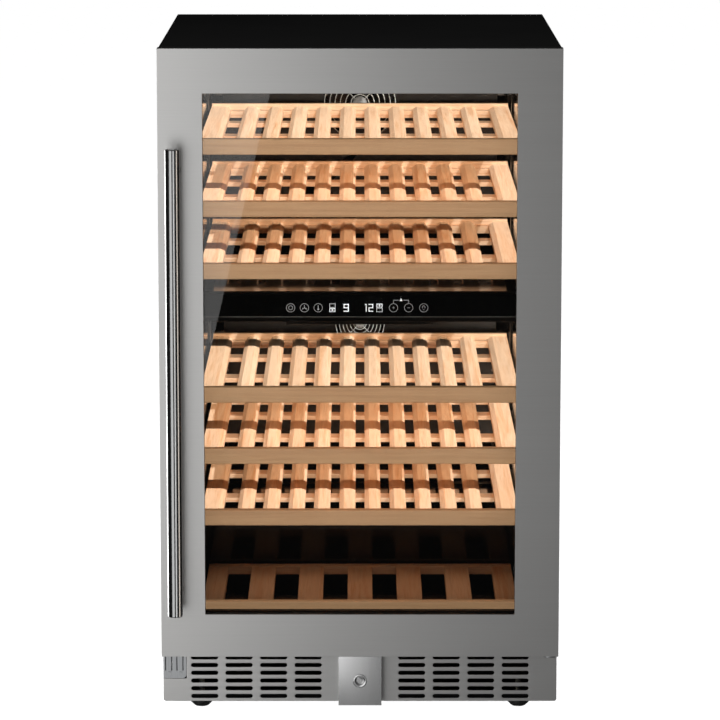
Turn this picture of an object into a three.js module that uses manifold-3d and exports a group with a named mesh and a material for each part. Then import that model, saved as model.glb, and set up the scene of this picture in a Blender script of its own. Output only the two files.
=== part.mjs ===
// Dual-zone wine cooler: insulated cabinet, glazed steel door, sliding beech shelves,
// two evaporator fans and a rear machine compartment. Millimetres, +Z up, door towards -Y.
// Inside the top group, y is the depth behind the door's front face.
import * as THREE from "three";
import { mergeVertices } from "three/addons/utils/BufferGeometryUtils.js";
import Module from "manifold-3d";

const wasm = await Module();
wasm.setup();

// ---- Driving dimensions ----
const WIDTH = 595;
const HEIGHT = 1010;
const BODY_DEPTH = 680;
const HANDLE_REACH = 48;
const GAP = 0.3;
const HALF = WIDTH / 2;

// Cabinet
const SHELL_FRONT = 52.4;
const SHELL_SHEET = 1.8;
const SHELL_BOTTOM = 20;
const SHELL_TOP = HEIGHT - 2;
const INNER_HALF = HALF - SHELL_SHEET - GAP;
const FOAM_FRONT = 56.6;
const FOAM_BACK = 676.5;
const FOAM_BOTTOM = 97.5;
const FOAM_TOP = SHELL_TOP - SHELL_SHEET - GAP;
const FRAME_BACK = FOAM_FRONT - GAP;
const BASE = { bottom: 19.3, sheet: 2, front: 46, back: 673.7 };
const BASE_TOP = BASE.bottom + BASE.sheet;
const REAR_SHEET = [677, 679.5];
const MACHINE_COVER = [674, 676.5];

// Interior zones
const LINER = { half: 242.3, wall: 1.7, back: 627.7 };
const LINER_ROOM = LINER.wall + GAP;
const UPPER = { floor: 643.2, ceiling: 954.8 };
const LOWER = { floor: 135, ceiling: 596.9, stepDepth: 343, stepTop: 272 };
const MACHINE_FRONT = 385;
const MACHINE_ROOF = 231;

// Door
const DOOR = { bottom: 97.5, steel: 26, back: 42 };
const WINDOW = { half: 231.5, bottom: 162.4, top: 944 };
const GLASS = { sheet: 4, front: 2.3, lap: 13 };
const HINGE = {
  x: 285, depth: 19, arm: 3, pin: 4, width: 26, armSide: 8, armBack: 46, upperLeg: 940, lowerLeg: 60,
};
const HANDLE = { x: -274.5, bottom: 168, top: 866, radius: 11, postRadius: 7, postInset: 34 };
const GASKET = { outer: 288, inner: 262, low: 106, high: 990, lipLow: 128, lipHigh: 966 };

// Shelves
const SHELF = { half: 238, front: 65, back: 565, fascia: 16, fasciaHeight: 23.5 };
const SHELF_TOPS = [870, 776.5, 683, 496, 402.5, 308];
const SLAT = { count: 10, pitch: 38.5, half: 12.75, flat: 4.5, drop: 5, height: 13 };
const SIDE_BOARD = { inner: 207, chamfer: 7 };
const CROSS_BOARDS = [[226, 262], [418, 452]];
const CROSS = { half: 224.5, thickness: 7 };
const REAR_RAIL = { depth: 20, lip: 9, lipTop: 4, hang: 5 };
const BOTTOM_SHELF = { top: 167, height: 13, back: 334, slatHalf: 19, pitch: 75.6, count: 5 };
const TRACK = {
  inner: 226, front: 86, back: 560, sheet: 2, flange: 16, post: 24, posts: [146, 460], tie: [470, 474],
};

// Air circulation
const DUCT = { half: 222, front: 590, sheet: 2 };
const UPPER_FAN = { z: 871, guard: 58, hub: 12, blade: 53, opening: 56 };
const LOWER_FAN = { z: 512, guard: 40, hub: 8.5, blade: 36, opening: 38.5 };
const GUARD = { front: 586, wire: 1.8 };
const FAN_ROTOR = { front: 596, thickness: 14, blades: 5 };
const FAN_MOTOR = { front: 611, back: 619, mount: [618, 622], armHalf: 4 };
const EVAPORATOR = { half: 180, fins: 18, finEdge: 598, root: 618, back: 624, height: 90 };
const COIL_BOTTOM = { upper: 700, lower: 330 };
const DUCT_SLOT = { x: 110, half: 60, rows: 3, start: 14, pitch: 9, height: 4 };
const CEILING_LAMP = { half: 110, front: 62, back: 76, height: 4.5 };

// Machine compartment
const COMPRESSOR = {
  x: 150, depth: 555, radius: 70, height: 150, base: 12, foot: [95, 60], footEnds: [8, 13],
  buffer: 11, bufferPlaces: [80, 46], box: 28, boxEnds: [34, 80],
};
const CONDENSER = {
  x: -140, half: 112, fins: 16, finEdge: 400, root: 426, back: 432, bottom: 30, height: 180,
};
const CONDENSER_FAN = {
  z: 120, radius: 66, hub: 22, thickness: 22, rotorFront: 438, opening: 72, half: 82,
  front: 436, depth: 24, motorRadius: 24, motor: [465, 498], brace: [472, 476],
};
const LOUVRE = { columns: [-150, 0, 150], rows: 6, bottom: 70, pitch: 22, half: 55, height: 8 };
const GLAND = { x: 262, z: 46, bore: 4.2, sleeve: 8.6, flange: 12 };

// Control panel in front of the divider
const PANEL = { half: 238, bottom: 605.1, top: 639.9, front: 49.6, back: 52.1 };

// Plinth
const KICK = { bottom: 19, top: 94, front: 40, sheet: 2, half: 297, corner: 4 };
const SLOT = { length: 40.6, height: 6, pitch: 12, top: 86.8, rows: 6 };
const SLOT_COLUMNS = [78.2, 130.3, 182.6, 234.6];
const HINGE_SEAT = {
  inner: 262, bottom: 54, radius: 6, columns: [-289, -272], groove: 4.6, grooveEnds: [66, 90],
  screw: 4, screwHeight: 61.5,
};
const LOCK = {
  half: 32.3, bottom: 18.5, front: 16, wall: 2, z: 56, bezel: 10.5, barrel: 8.5, keyhole: 3.6,
  shank: 6, back: 34,
};
const LEVER = { reach: 11, front: 30.5, back: 33.5, half: 2.5 };
const BOLT = { half: 6, front: 18.3, back: 22.7, bottom: 62, top: 93.5, footHalf: 4, footBack: 33.5 };
const FOOT = { x: 241.5, front: 93, rear: 626, radius: 16.5, stud: 4.8, clearance: 5.4 };

// ---- Geometry helpers ----
const AXES = {
  x: [new THREE.Vector3(0, 1, 0), new THREE.Vector3(0, 0, 1), new THREE.Vector3(1, 0, 0)],
  y: [new THREE.Vector3(1, 0, 0), new THREE.Vector3(0, 0, 1), new THREE.Vector3(0, -1, 0)],
  z: [new THREE.Vector3(1, 0, 0), new THREE.Vector3(0, 1, 0), new THREE.Vector3(0, 0, 1)],
};

function block([x0, x1], [y0, y1], [z0, z1]) {
  const geometry = new THREE.BoxGeometry(x1 - x0, y1 - y0, z1 - z0);
  return geometry.translate((x0 + x1) / 2, (y0 + y1) / 2, (z0 + z1) / 2);
}

function outline(points) {
  return new THREE.Shape(points.map(([u, v]) => new THREE.Vector2(u, v)));
}

function rectangle(u0, u1, v0, v1) {
  return [[u0, v0], [u1, v0], [u1, v1], [u0, v1]];
}

// Extrudes a shape along an axis: (y, z) along x, (x, z) along y, (x, y) along z.
function extrude(shape, axis, from, to, curveSegments = 6) {
  const options = { depth: to - from, bevelEnabled: false, curveSegments };
  const geometry = new THREE.ExtrudeGeometry(shape, options);
  geometry.applyMatrix4(new THREE.Matrix4().makeBasis(...AXES[axis]));
  const shift = new THREE.Vector3();
  shift[axis] = axis === "y" ? to : from;
  return geometry.translate(shift.x, shift.y, shift.z);
}

function windowFrame(outer, inner, from, to) {
  const shape = outline(outer);
  shape.holes.push(new THREE.Path(inner.map(([u, v]) => new THREE.Vector2(u, v))));
  return extrude(shape, "y", from, to);
}

// Turns a (radius, height) profile about an axis through the origin.
function lathe(profile, axis, segments = 24) {
  const points = profile.map(([radius, height]) => new THREE.Vector2(radius, height));
  const geometry = new THREE.LatheGeometry(points, segments);
  return axis === "z" ? geometry.rotateX(Math.PI / 2) : geometry;
}

function rod(radius, axis, from, to, segments = 16) {
  return lathe([[0, from], [radius, from], [radius, to], [0, to]], axis, segments);
}

function washer(outer, inner, from, to, segments = 24) {
  return lathe([[inner, from], [outer, from], [outer, to], [inner, to], [inner, from]], "y", segments);
}

function toSolid(geometry) {
  const bare = geometry.clone();
  bare.deleteAttribute("normal");
  bare.deleteAttribute("uv");
  const merged = mergeVertices(bare, 1e-3);
  const corners = merged.index.array;
  const triangles = [];
  for (let i = 0; i < corners.length; i += 3) {
    const [a, b, c] = corners.slice(i, i + 3);
    if (a !== b && b !== c && c !== a) triangles.push(a, b, c);
  }
  const vertProperties = merged.attributes.position.array;
  const mesh = new wasm.Mesh({ numProp: 3, vertProperties, triVerts: Uint32Array.from(triangles) });
  return new wasm.Manifold(mesh);
}

function toGeometry(solid) {
  const mesh = solid.getMesh();
  const geometry = new THREE.BufferGeometry();
  geometry.setAttribute("position", new THREE.BufferAttribute(Float32Array.from(mesh.vertProperties), 3));
  geometry.setIndex(new THREE.BufferAttribute(Uint32Array.from(mesh.triVerts), 1));
  geometry.computeVertexNormals();
  return geometry;
}

function join(pieces) {
  return toGeometry(pieces.map(toSolid).reduce((whole, piece) => whole.add(piece)));
}

function cut(geometry, tools) {
  return toGeometry(tools.map(toSolid).reduce((whole, tool) => whole.subtract(tool), toSolid(geometry)));
}

// ---- Materials ----
function finish(color, roughness, metalness) {
  return new THREE.MeshStandardMaterial({ color, roughness, metalness });
}

const STEEL = finish(0x9b9d9b, 0.38, 1);
const POLISHED = finish(0xb8bab9, 0.12, 1);
const BLACK_STEEL = finish(0x151515, 0.45, 0.3);
const ZINC = finish(0xa9adae, 0.4, 1);
const BLACK_PLASTIC = finish(0x0c0c0d, 0.35, 0);
const GLOSS_BLACK = finish(0x050506, 0.06, 0);
const FOAM = finish(0xd8cfae, 0.9, 0);
const RUBBER = finish(0x101010, 0.8, 0);
const BEECH = finish(0xe0b88f, 0.5, 0);
const ALUMINIUM = finish(0xc4c6c8, 0.35, 1);
const LAMP = finish(0xfff4e0, 0.3, 0);
const CLEAR = new THREE.MeshStandardMaterial({
  color: 0x20262a, roughness: 0.02, metalness: 0, transparent: true, opacity: 0.3,
});

const cooler = new THREE.Group();
const body = new THREE.Group();
body.position.y = -(BODY_DEPTH - HANDLE_REACH) / 2;
cooler.add(body);

function add(parent, name, geometry, material, [x, y, z] = [0, 0, 0]) {
  const mesh = new THREE.Mesh(geometry, material);
  mesh.name = name;
  mesh.position.set(x, y, z);
  parent.add(mesh);
  return mesh;
}

// ---- Cabinet shell, foam and liners ----
function outerShell() {
  const inner = HALF - SHELL_SHEET;
  const sheet = outline([
    [-HALF, SHELL_BOTTOM], [-inner, SHELL_BOTTOM], [-inner, SHELL_TOP - SHELL_SHEET],
    [inner, SHELL_TOP - SHELL_SHEET], [inner, SHELL_BOTTOM], [HALF, SHELL_BOTTOM],
    [HALF, SHELL_TOP], [-HALF, SHELL_TOP],
  ]);
  return extrude(sheet, "y", SHELL_FRONT, BODY_DEPTH);
}

function basePlate() {
  const { front, back, bottom, sheet } = BASE;
  const tray = join([
    block([-INNER_HALF, INNER_HALF], [front, back], [bottom, BASE_TOP]),
    block([-INNER_HALF, INNER_HALF], [front, front + sheet], [BASE_TOP - 1, BASE_TOP + 12]),
  ]);
  const holes = footPlaces().map(([x, y]) => (
    rod(FOOT.clearance, "z", bottom - 1, BASE_TOP + 1).translate(x, y, 0)
  ));
  return cut(tray, holes);
}

// Side outline (depth, height) of the lower zone, grown outwards by a margin.
function lowerZone(margin, front) {
  return outline([
    [front, LOWER.floor - margin], [LOWER.stepDepth + margin, LOWER.floor - margin],
    [LOWER.stepDepth + margin, LOWER.stepTop - margin], [LINER.back + margin, LOWER.stepTop - margin],
    [LINER.back + margin, LOWER.ceiling + margin], [front, LOWER.ceiling + margin],
  ]);
}

function upperZone(margin, front) {
  return outline(rectangle(front, LINER.back + margin, UPPER.floor - margin, UPPER.ceiling + margin));
}

function foam() {
  const side = outline([
    [FOAM_FRONT, FOAM_BOTTOM], [MACHINE_FRONT, FOAM_BOTTOM], [MACHINE_FRONT, MACHINE_ROOF],
    [FOAM_BACK, MACHINE_ROOF], [FOAM_BACK, FOAM_TOP], [FOAM_FRONT, FOAM_TOP],
  ]);
  const reach = LINER.half + LINER_ROOM;
  const front = FOAM_FRONT - 5;
  const between = outline(rectangle(front, LINER.back + LINER_ROOM, LOWER.ceiling, UPPER.floor));
  return cut(extrude(side, "x", -INNER_HALF, INNER_HALF), [
    extrude(upperZone(LINER_ROOM, front), "x", -reach, reach),
    extrude(lowerZone(LINER_ROOM, front), "x", -reach, reach),
    extrude(between, "x", -reach, reach),
  ]);
}

// The slab of foam between the two liners.
function zoneDivider() {
  const reach = LINER.half + LINER.wall;
  const heights = [LOWER.ceiling + LINER_ROOM, UPPER.floor - LINER_ROOM];
  return block([-reach, reach], [FOAM_FRONT, LINER.back + LINER.wall], heights);
}

function liner(zone) {
  const reach = LINER.half + LINER.wall;
  const outer = extrude(zone(LINER.wall, FOAM_FRONT), "x", -reach, reach);
  return cut(outer, [extrude(zone(0, FOAM_FRONT - 5), "x", -LINER.half, LINER.half)]);
}

function frontFrame() {
  const lap = 0.7;
  const outer = rectangle(-INNER_HALF, INNER_HALF, FOAM_BOTTOM, FOAM_TOP);
  const shape = outline(outer);
  for (const zone of [UPPER, LOWER]) {
    const opening = rectangle(-LINER.half - lap, LINER.half + lap, zone.floor - lap, zone.ceiling + lap);
    shape.holes.push(new THREE.Path(opening.map(([u, v]) => new THREE.Vector2(u, v))));
  }
  return extrude(shape, "y", SHELL_FRONT, FRAME_BACK);
}

function machineCover() {
  const sheet = block([-INNER_HALF, INNER_HALF], MACHINE_COVER, [BASE_TOP + GAP, MACHINE_ROOF - GAP]);
  const louvres = [];
  const through = [MACHINE_COVER[0] - 1, MACHINE_COVER[1] + 1];
  for (const x of LOUVRE.columns) {
    for (let row = 0; row < LOUVRE.rows; row += 1) {
      const z = LOUVRE.bottom + row * LOUVRE.pitch;
      louvres.push(block([x - LOUVRE.half, x + LOUVRE.half], through, [z, z + LOUVRE.height]));
    }
  }
  const cordHole = rod(GLAND.sleeve + 0.4, "y", ...through).translate(GLAND.x, 0, GLAND.z);
  return cut(sheet, [...louvres, cordHole]);
}

function powerGland() {
  const back = MACHINE_COVER[1] + GAP;
  return lathe([
    [GLAND.bore, MACHINE_COVER[0] - 8], [GLAND.sleeve, MACHINE_COVER[0] - 8], [GLAND.sleeve, back],
    [GLAND.flange, back], [GLAND.flange - 1.5, BODY_DEPTH - 0.2], [GLAND.bore, BODY_DEPTH - 0.2],
    [GLAND.bore, MACHINE_COVER[0] - 8],
  ], "y", 16);
}

function addCabinet() {
  add(body, "outer_shell", outerShell(), BLACK_STEEL);
  add(body, "insulation_foam", foam(), FOAM);
  add(body, "zone_divider", zoneDivider(), FOAM);
  add(body, "upper_liner", liner(upperZone), BLACK_PLASTIC);
  add(body, "lower_liner", liner(lowerZone), BLACK_PLASTIC);
  add(body, "front_frame", frontFrame(), BLACK_PLASTIC);
  add(body, "base_plate", basePlate(), BLACK_STEEL);
  const rear = block([-INNER_HALF, INNER_HALF], REAR_SHEET, [MACHINE_ROOF, FOAM_TOP]);
  add(body, "rear_panel", rear, ZINC);
  add(body, "machine_cover", machineCover(), BLACK_STEEL);
  add(body, "power_gland", powerGland(), RUBBER, [GLAND.x, 0, GLAND.z]);
  const panel = block([-PANEL.half, PANEL.half], [PANEL.front, PANEL.back], [PANEL.bottom, PANEL.top]);
  add(body, "control_panel", panel, GLOSS_BLACK);
  const { half, front, back, height } = CEILING_LAMP;
  const lamp = block([-half, half], [front, back], [-height, 0]);
  add(body, "upper_light", lamp, LAMP, [0, 0, UPPER.ceiling - GAP]);
  add(body, "lower_light", lamp.clone(), LAMP, [0, 0, LOWER.ceiling - GAP]);
}

// ---- Duct covers, fans and evaporators ----
function ductCover(bottom, top, fan) {
  const { half, front, sheet } = DUCT;
  const back = LINER.back - GAP;
  const pan = cut(block([-half, half], [front, back], [bottom, top]), [
    block([-half + sheet, half - sheet], [front + sheet, back + 1], [bottom + sheet, top - sheet]),
    rod(fan.opening, "y", front - 1, front + sheet + 1, 28).translate(0, 0, fan.z),
  ]);
  const slots = [];
  for (const x of [-DUCT_SLOT.x, DUCT_SLOT.x]) {
    for (let row = 0; row < DUCT_SLOT.rows; row += 1) {
      const z = bottom + DUCT_SLOT.start + row * DUCT_SLOT.pitch;
      const ends = [x - DUCT_SLOT.half, x + DUCT_SLOT.half];
      slots.push(block(ends, [front - 1, front + sheet + 1], [z, z + DUCT_SLOT.height]));
    }
  }
  return cut(pan, slots);
}

function fanGuard(fan) {
  const { front, wire } = GUARD;
  const radii = [fan.guard, fan.guard * 0.4];
  const rings = radii.map((radius) => washer(radius, radius - wire, front, front + wire, 20));
  const spoke = (angle) => block(
    [-fan.guard + wire / 2, fan.guard - wire / 2], [front + 0.3, front + wire - 0.3], [-wire / 2, wire / 2],
  ).rotateY(angle);
  return join([...rings, spoke(Math.PI / 4), spoke(-Math.PI / 4)]);
}

function fanRotor(hubRadius, bladeRadius, depth, blades) {
  const parts = [rod(hubRadius, "y", 0, depth, 20)];
  for (let i = 0; i < blades; i += 1) {
    const blade = block([hubRadius * 0.6, bladeRadius], [-0.8, 0.8], [-bladeRadius * 0.3, bladeRadius * 0.3]);
    blade.rotateX(THREE.MathUtils.degToRad(28));
    blade.translate(0, depth / 2, 0);
    parts.push(blade.rotateY((i / blades) * Math.PI * 2));
  }
  return join(parts);
}

function fanMotor(fan) {
  const armReach = fan.opening + 8;
  const { front, back, mount, armHalf } = FAN_MOTOR;
  const arms = block([-armReach, armReach], mount, [-armHalf, armHalf]);
  return join([rod(fan.hub * 0.9, "y", front, back, 16), arms]);
}

// A finned heat exchanger: plate fins that stand on a tube sheet, on one or the other side of it.
function finnedCoil({ half, fins, finEdge, root, back }, height) {
  const pitch = (2 * half) / fins;
  const points = [[-half, back], [-half, finEdge]];
  for (let i = 0; i < fins; i += 1) {
    const x = -half + i * pitch;
    points.push([x + pitch * 0.4, finEdge], [x + pitch * 0.4, root], [x + pitch, root], [x + pitch, finEdge]);
  }
  points.push([half + pitch * 0.4, finEdge], [half + pitch * 0.4, back]);
  const shape = outline(finEdge < back ? points.reverse() : points);
  return extrude(shape, "z", 0, height);
}

function addAirCirculation() {
  const zones = [
    ["upper", UPPER_FAN, UPPER.floor + GAP, UPPER.ceiling - GAP],
    ["lower", LOWER_FAN, LOWER.stepTop + GAP, LOWER.ceiling - GAP],
  ];
  const { front, thickness, blades } = FAN_ROTOR;
  for (const [zone, fan, bottom, top] of zones) {
    const rotor = fanRotor(fan.hub, fan.blade, thickness, blades);
    const coil = finnedCoil(EVAPORATOR, EVAPORATOR.height);
    add(body, `${zone}_duct_cover`, ductCover(bottom, top, fan), BLACK_PLASTIC);
    add(body, `${zone}_fan_guard`, fanGuard(fan), BLACK_PLASTIC, [0, 0, fan.z]);
    add(body, `${zone}_fan_rotor`, rotor, BLACK_PLASTIC, [0, front, fan.z]);
    add(body, `${zone}_fan_motor`, fanMotor(fan), BLACK_PLASTIC, [0, 0, fan.z]);
    add(body, `${zone}_evaporator`, coil, ALUMINIUM, [0, 0, COIL_BOTTOM[zone]]);
  }
}

// ---- Machine compartment ----
function compressor() {
  const { radius, height, base, foot, footEnds, buffer, bufferPlaces, box, boxEnds } = COMPRESSOR;
  const seam = radius * 1.05;
  const seamEnds = [height * 0.56, height * 0.6];
  const pot = lathe([
    [0, base], [radius * 0.8, base], [radius, base * 2.5], [radius, seamEnds[0]], [seam, seamEnds[0]],
    [seam, seamEnds[1]], [radius, seamEnds[1]], [radius, height * 0.75], [radius * 0.7, height - 8],
    [0, height],
  ], "z", 28);
  const plate = block([-foot[0], foot[0]], [-foot[1], foot[1]], footEnds);
  const terminalBox = block([-radius - 22, -radius + 6], [-box, box], boxEnds);
  const buffers = [];
  for (const x of [-bufferPlaces[0], bufferPlaces[0]]) {
    for (const y of [-bufferPlaces[1], bufferPlaces[1]]) {
      buffers.push(rod(buffer, "z", 0, footEnds[0] + 1, 12).translate(x, y, 0));
    }
  }
  return join([pot, plate, terminalBox, ...buffers]);
}

function condenserShroud() {
  const { z, opening, half, front, depth, motorRadius, motor, brace } = CONDENSER_FAN;
  const back = front + depth;
  const armHalf = 6;
  const rise = [z - armHalf, z + armHalf];
  const plate = cut(block([-half, half], [front, back], [z - half, z + half]), [
    rod(opening, "y", front - 1, back + 1, 32).translate(0, 0, z),
  ]);
  const can = rod(motorRadius, "y", ...motor, 20).translate(0, 0, z);
  const arm = block([-half + 4, half - 4], brace, rise);
  const stands = [-half + 8, half - 8].map((x) => block([x - 4, x + 4], [back - 4, brace[1]], rise));
  return join([plate, can, arm, ...stands]);
}

function addMachineCompartment() {
  const { x, depth } = COMPRESSOR;
  add(body, "compressor", compressor(), BLACK_STEEL, [x, depth, BASE_TOP + GAP]);
  const coil = finnedCoil(CONDENSER, CONDENSER.height);
  add(body, "condenser", coil, ALUMINIUM, [CONDENSER.x, 0, CONDENSER.bottom]);
  add(body, "condenser_fan_shroud", condenserShroud(), BLACK_PLASTIC, [CONDENSER.x, 0, 0]);
  const { hub, radius, thickness, rotorFront, z } = CONDENSER_FAN;
  const rotor = fanRotor(hub, radius, thickness, FAN_ROTOR.blades);
  add(body, "condenser_fan_rotor", rotor, BLACK_PLASTIC, [CONDENSER.x, rotorFront, z]);
}

// ---- Plinth, lock and feet ----
function slotShape(x, z) {
  const radius = SLOT.height / 2;
  const reach = SLOT.length / 2 - radius;
  const path = new THREE.Shape();
  path.absarc(x + reach, z, radius, -Math.PI / 2, Math.PI / 2);
  path.absarc(x - reach, z, radius, Math.PI / 2, 1.5 * Math.PI);
  return path;
}

function kickPlate() {
  const { half, bottom, top, front, sheet, corner } = KICK;
  const seat = HINGE_SEAT.inner;
  const shape = new THREE.Shape();
  shape.moveTo(-half + corner, bottom);
  shape.lineTo(half - corner, bottom);
  shape.absarc(half - corner, bottom + corner, corner, -Math.PI / 2, 0);
  shape.lineTo(half, top);
  shape.lineTo(-seat, top);
  shape.lineTo(-seat, HINGE_SEAT.bottom);
  shape.lineTo(-half, HINGE_SEAT.bottom);
  shape.lineTo(-half, bottom + corner);
  shape.absarc(-half + corner, bottom + corner, corner, Math.PI, 1.5 * Math.PI);
  for (const x of SLOT_COLUMNS.flatMap((place) => [-place, place])) {
    for (let row = 0; row < SLOT.rows; row += 1) {
      shape.holes.push(slotShape(x, SLOT.top - row * SLOT.pitch));
    }
  }
  const lockGap = BOLT.half + 2;
  const sheetMetal = extrude(shape, "y", front, front + sheet, 1);
  return cut(sheetMetal, [block([-lockGap, lockGap], [front - 1, front + 3], [LOCK.z - 12, top + 1])]);
}

function spareHingeSeat() {
  const { inner, bottom, radius, columns, groove, grooveEnds, screw, screwHeight } = HINGE_SEAT;
  const left = -KICK.half;
  const right = -inner - GAP;
  const low = bottom + GAP;
  const shape = new THREE.Shape();
  shape.moveTo(left, low);
  shape.lineTo(right - radius, low);
  shape.absarc(right - radius, low + radius, radius, -Math.PI / 2, 0);
  shape.lineTo(right, KICK.top);
  shape.lineTo(left, KICK.top);
  const { front } = KICK;
  const plate = extrude(shape, "y", front + 0.8, front + 3.8, 4);
  const grooves = [];
  for (const place of columns.flatMap((x) => [x - groove, x + groove])) {
    grooves.push(block([place - 0.7, place + 0.7], [front, front + 5], grooveEnds));
  }
  const screws = columns.map((x) => (
    rod(screw, "y", front - 0.4, front + 2, 16).scale(1, 1, 0.8).translate(x, 0, screwHeight)
  ));
  return join([cut(plate, grooves), ...screws]);
}

function lockHousing() {
  const { half, bottom, front, wall, z, barrel } = LOCK;
  const back = KICK.front - GAP;
  const top = KICK.top;
  const boltSlot = [BOLT.front - 0.5, BOLT.back + 0.5];
  return cut(block([-half, half], [front, back], [bottom, top]), [
    block([-half + wall, half - wall], [front + wall, back + 1], [bottom + wall, top - wall]),
    rod(barrel + 0.4, "y", front - 1, front + wall + 1, 24).translate(0, 0, z),
    block([-BOLT.half - 0.5, BOLT.half + 0.5], boltSlot, [top - wall - 1, top + 1]),
  ]);
}

function lockCylinder() {
  const { front, wall, bezel, barrel, keyhole, shank, back } = LOCK;
  const face = front - 1.4;
  const shoulder = front + wall + 8;
  const core = lathe([
    [0, face + 9], [keyhole, face + 9], [keyhole, face], [bezel - 0.6, face], [bezel, face + 0.6],
    [bezel, front - GAP], [barrel, front - GAP], [barrel, shoulder], [shank, shoulder],
    [shank, back], [0, back],
  ], "y", 24);
  const lever = join([
    block([0, LEVER.reach], [LEVER.front, LEVER.back], [-LEVER.half, LEVER.half]),
    rod(LEVER.half, "y", LEVER.front, LEVER.back, 12).translate(LEVER.reach, 0, 0),
  ]);
  return join([core, lever]);
}

function lockBolt() {
  const { half, front, back, bottom, top, footHalf, footBack } = BOLT;
  return join([
    block([-half, half], [front, back], [bottom + 12, top]),
    block([-footHalf, footHalf], [front, back + 6], [bottom + 12, bottom + 18]),
    block([-footHalf, footHalf], [back + 4, footBack], [bottom, bottom + 18]),
  ]);
}

function footPlaces() {
  return [[-FOOT.x, FOOT.front], [FOOT.x, FOOT.front], [-FOOT.x, FOOT.rear], [FOOT.x, FOOT.rear]];
}

function foot() {
  const { radius, stud } = FOOT;
  return lathe([
    [0, 0], [radius * 0.62, 0], [radius, 5.5], [radius, 15], [radius * 0.85, 16.5], [8, 16.5],
    [8, 19], [stud, 19], [stud, 44], [0, 44],
  ], "z", 12);
}

function addPlinth() {
  add(body, "kick_plate", kickPlate(), STEEL);
  add(body, "spare_hinge_seat", spareHingeSeat(), ZINC);
  add(body, "lock_housing", lockHousing(), POLISHED);
  add(body, "lock_cylinder", lockCylinder(), POLISHED, [0, 0, LOCK.z]);
  add(body, "lock_bolt", lockBolt(), ZINC);
  const names = ["front_left_foot", "front_right_foot", "rear_left_foot", "rear_right_foot"];
  footPlaces().forEach(([x, y], i) => add(body, names[i], foot(), RUBBER, [x, y, 0]));
}

// ---- Hinges and door ----
const UPPER_ARM = [HEIGHT - 9, HEIGHT - 9 + HINGE.arm];
const LOWER_ARM = [KICK.top + GAP, DOOR.bottom - GAP];

function hingePlate([low, high], pinEnds, legEnds, legInner) {
  const { x, depth, pin, width, armSide, armBack } = HINGE;
  const right = HALF - GAP;
  const back = SHELL_FRONT - GAP;
  const arm = block([right - width, x + armSide], [depth + 2, back], [low, high]);
  const heel = block([right - width, right], [armBack, back], [low, high]);
  const eye = rod(right - x, "z", low, high, 20).translate(x, depth, 0);
  const leg = block([legInner, right], [back - HINGE.arm, back], legEnds);
  const axle = rod(pin, "z", ...pinEnds).translate(x, depth, 0);
  return join([arm, heel, eye, leg, axle]);
}

function doorFrame() {
  const { half, bottom, top } = WINDOW;
  const outer = rectangle(-HALF, HALF, DOOR.bottom, HEIGHT);
  const skin = windowFrame(outer, rectangle(-half, half, bottom, top), 0, DOOR.steel);
  const lap = GLASS.lap + 0.5;
  const rebate = block([-half - lap, half + lap], [2, DOOR.steel + 1], [bottom - lap, top + lap]);
  return cut(skin, [
    rebate,
    hingeNotch(),
    pinBore(DOOR.bottom - 1, DOOR.bottom + 16),
    pinBore(UPPER_ARM[0] - 17, UPPER_ARM[0]),
    block([-BOLT.half - 1.5, BOLT.half + 1.5], [BOLT.front - 1.5, BOLT.back + 1.5],
      [DOOR.bottom - 1, DOOR.bottom + 12]),
  ]);
}

function pinBore(from, to) {
  return rod(HINGE.pin + 0.4, "z", from, to, 20).translate(HINGE.x, HINGE.depth, 0);
}

// Room in the door's top corner for the fixed upper hinge arm, open to the back and the side.
function hingeNotch() {
  return block([HINGE.x - 18, HALF + 1], [3.5, DOOR.back + 1], [UPPER_ARM[0] - 0.5, UPPER_ARM[1] + 0.5]);
}

function doorInnerFrame() {
  const outer = rectangle(-HALF + 1.5, HALF - 1.5, DOOR.bottom + 1.5, HEIGHT - 1.5);
  const { half, bottom, top } = WINDOW;
  const ring = windowFrame(outer, rectangle(-half - 1, half + 1, bottom - 1, top + 1),
    DOOR.steel + GAP, DOOR.back);
  return cut(ring, [hingeNotch()]);
}

function glassSheet(front) {
  const { half, bottom, top } = WINDOW;
  return block([-half - GLASS.lap, half + GLASS.lap], [front, front + GLASS.sheet],
    [bottom - GLASS.lap, top + GLASS.lap]);
}

function glassSpacer(from, to) {
  const { half, bottom, top } = WINDOW;
  const outer = rectangle(-half - 12, half + 12, bottom - 12, top + 12);
  return windowFrame(outer, rectangle(-half - 2, half + 2, bottom - 2, top + 2), from, to);
}

// A tube with two posts welded behind it, one near each end.
function handle() {
  const { bottom, top, radius, postRadius, postInset } = HANDLE;
  const edge = 1.5;
  const length = top - bottom;
  const bar = lathe([
    [0, 0], [radius - edge, 0], [radius, edge], [radius, length - edge], [radius - edge, length], [0, length],
  ], "z", 32);
  const posts = [postInset, length - postInset].map((z) => (
    rod(postRadius, "y", 0, HANDLE_REACH - radius - GAP, 20).translate(0, 0, z)
  ));
  return join([bar, ...posts]);
}

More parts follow.
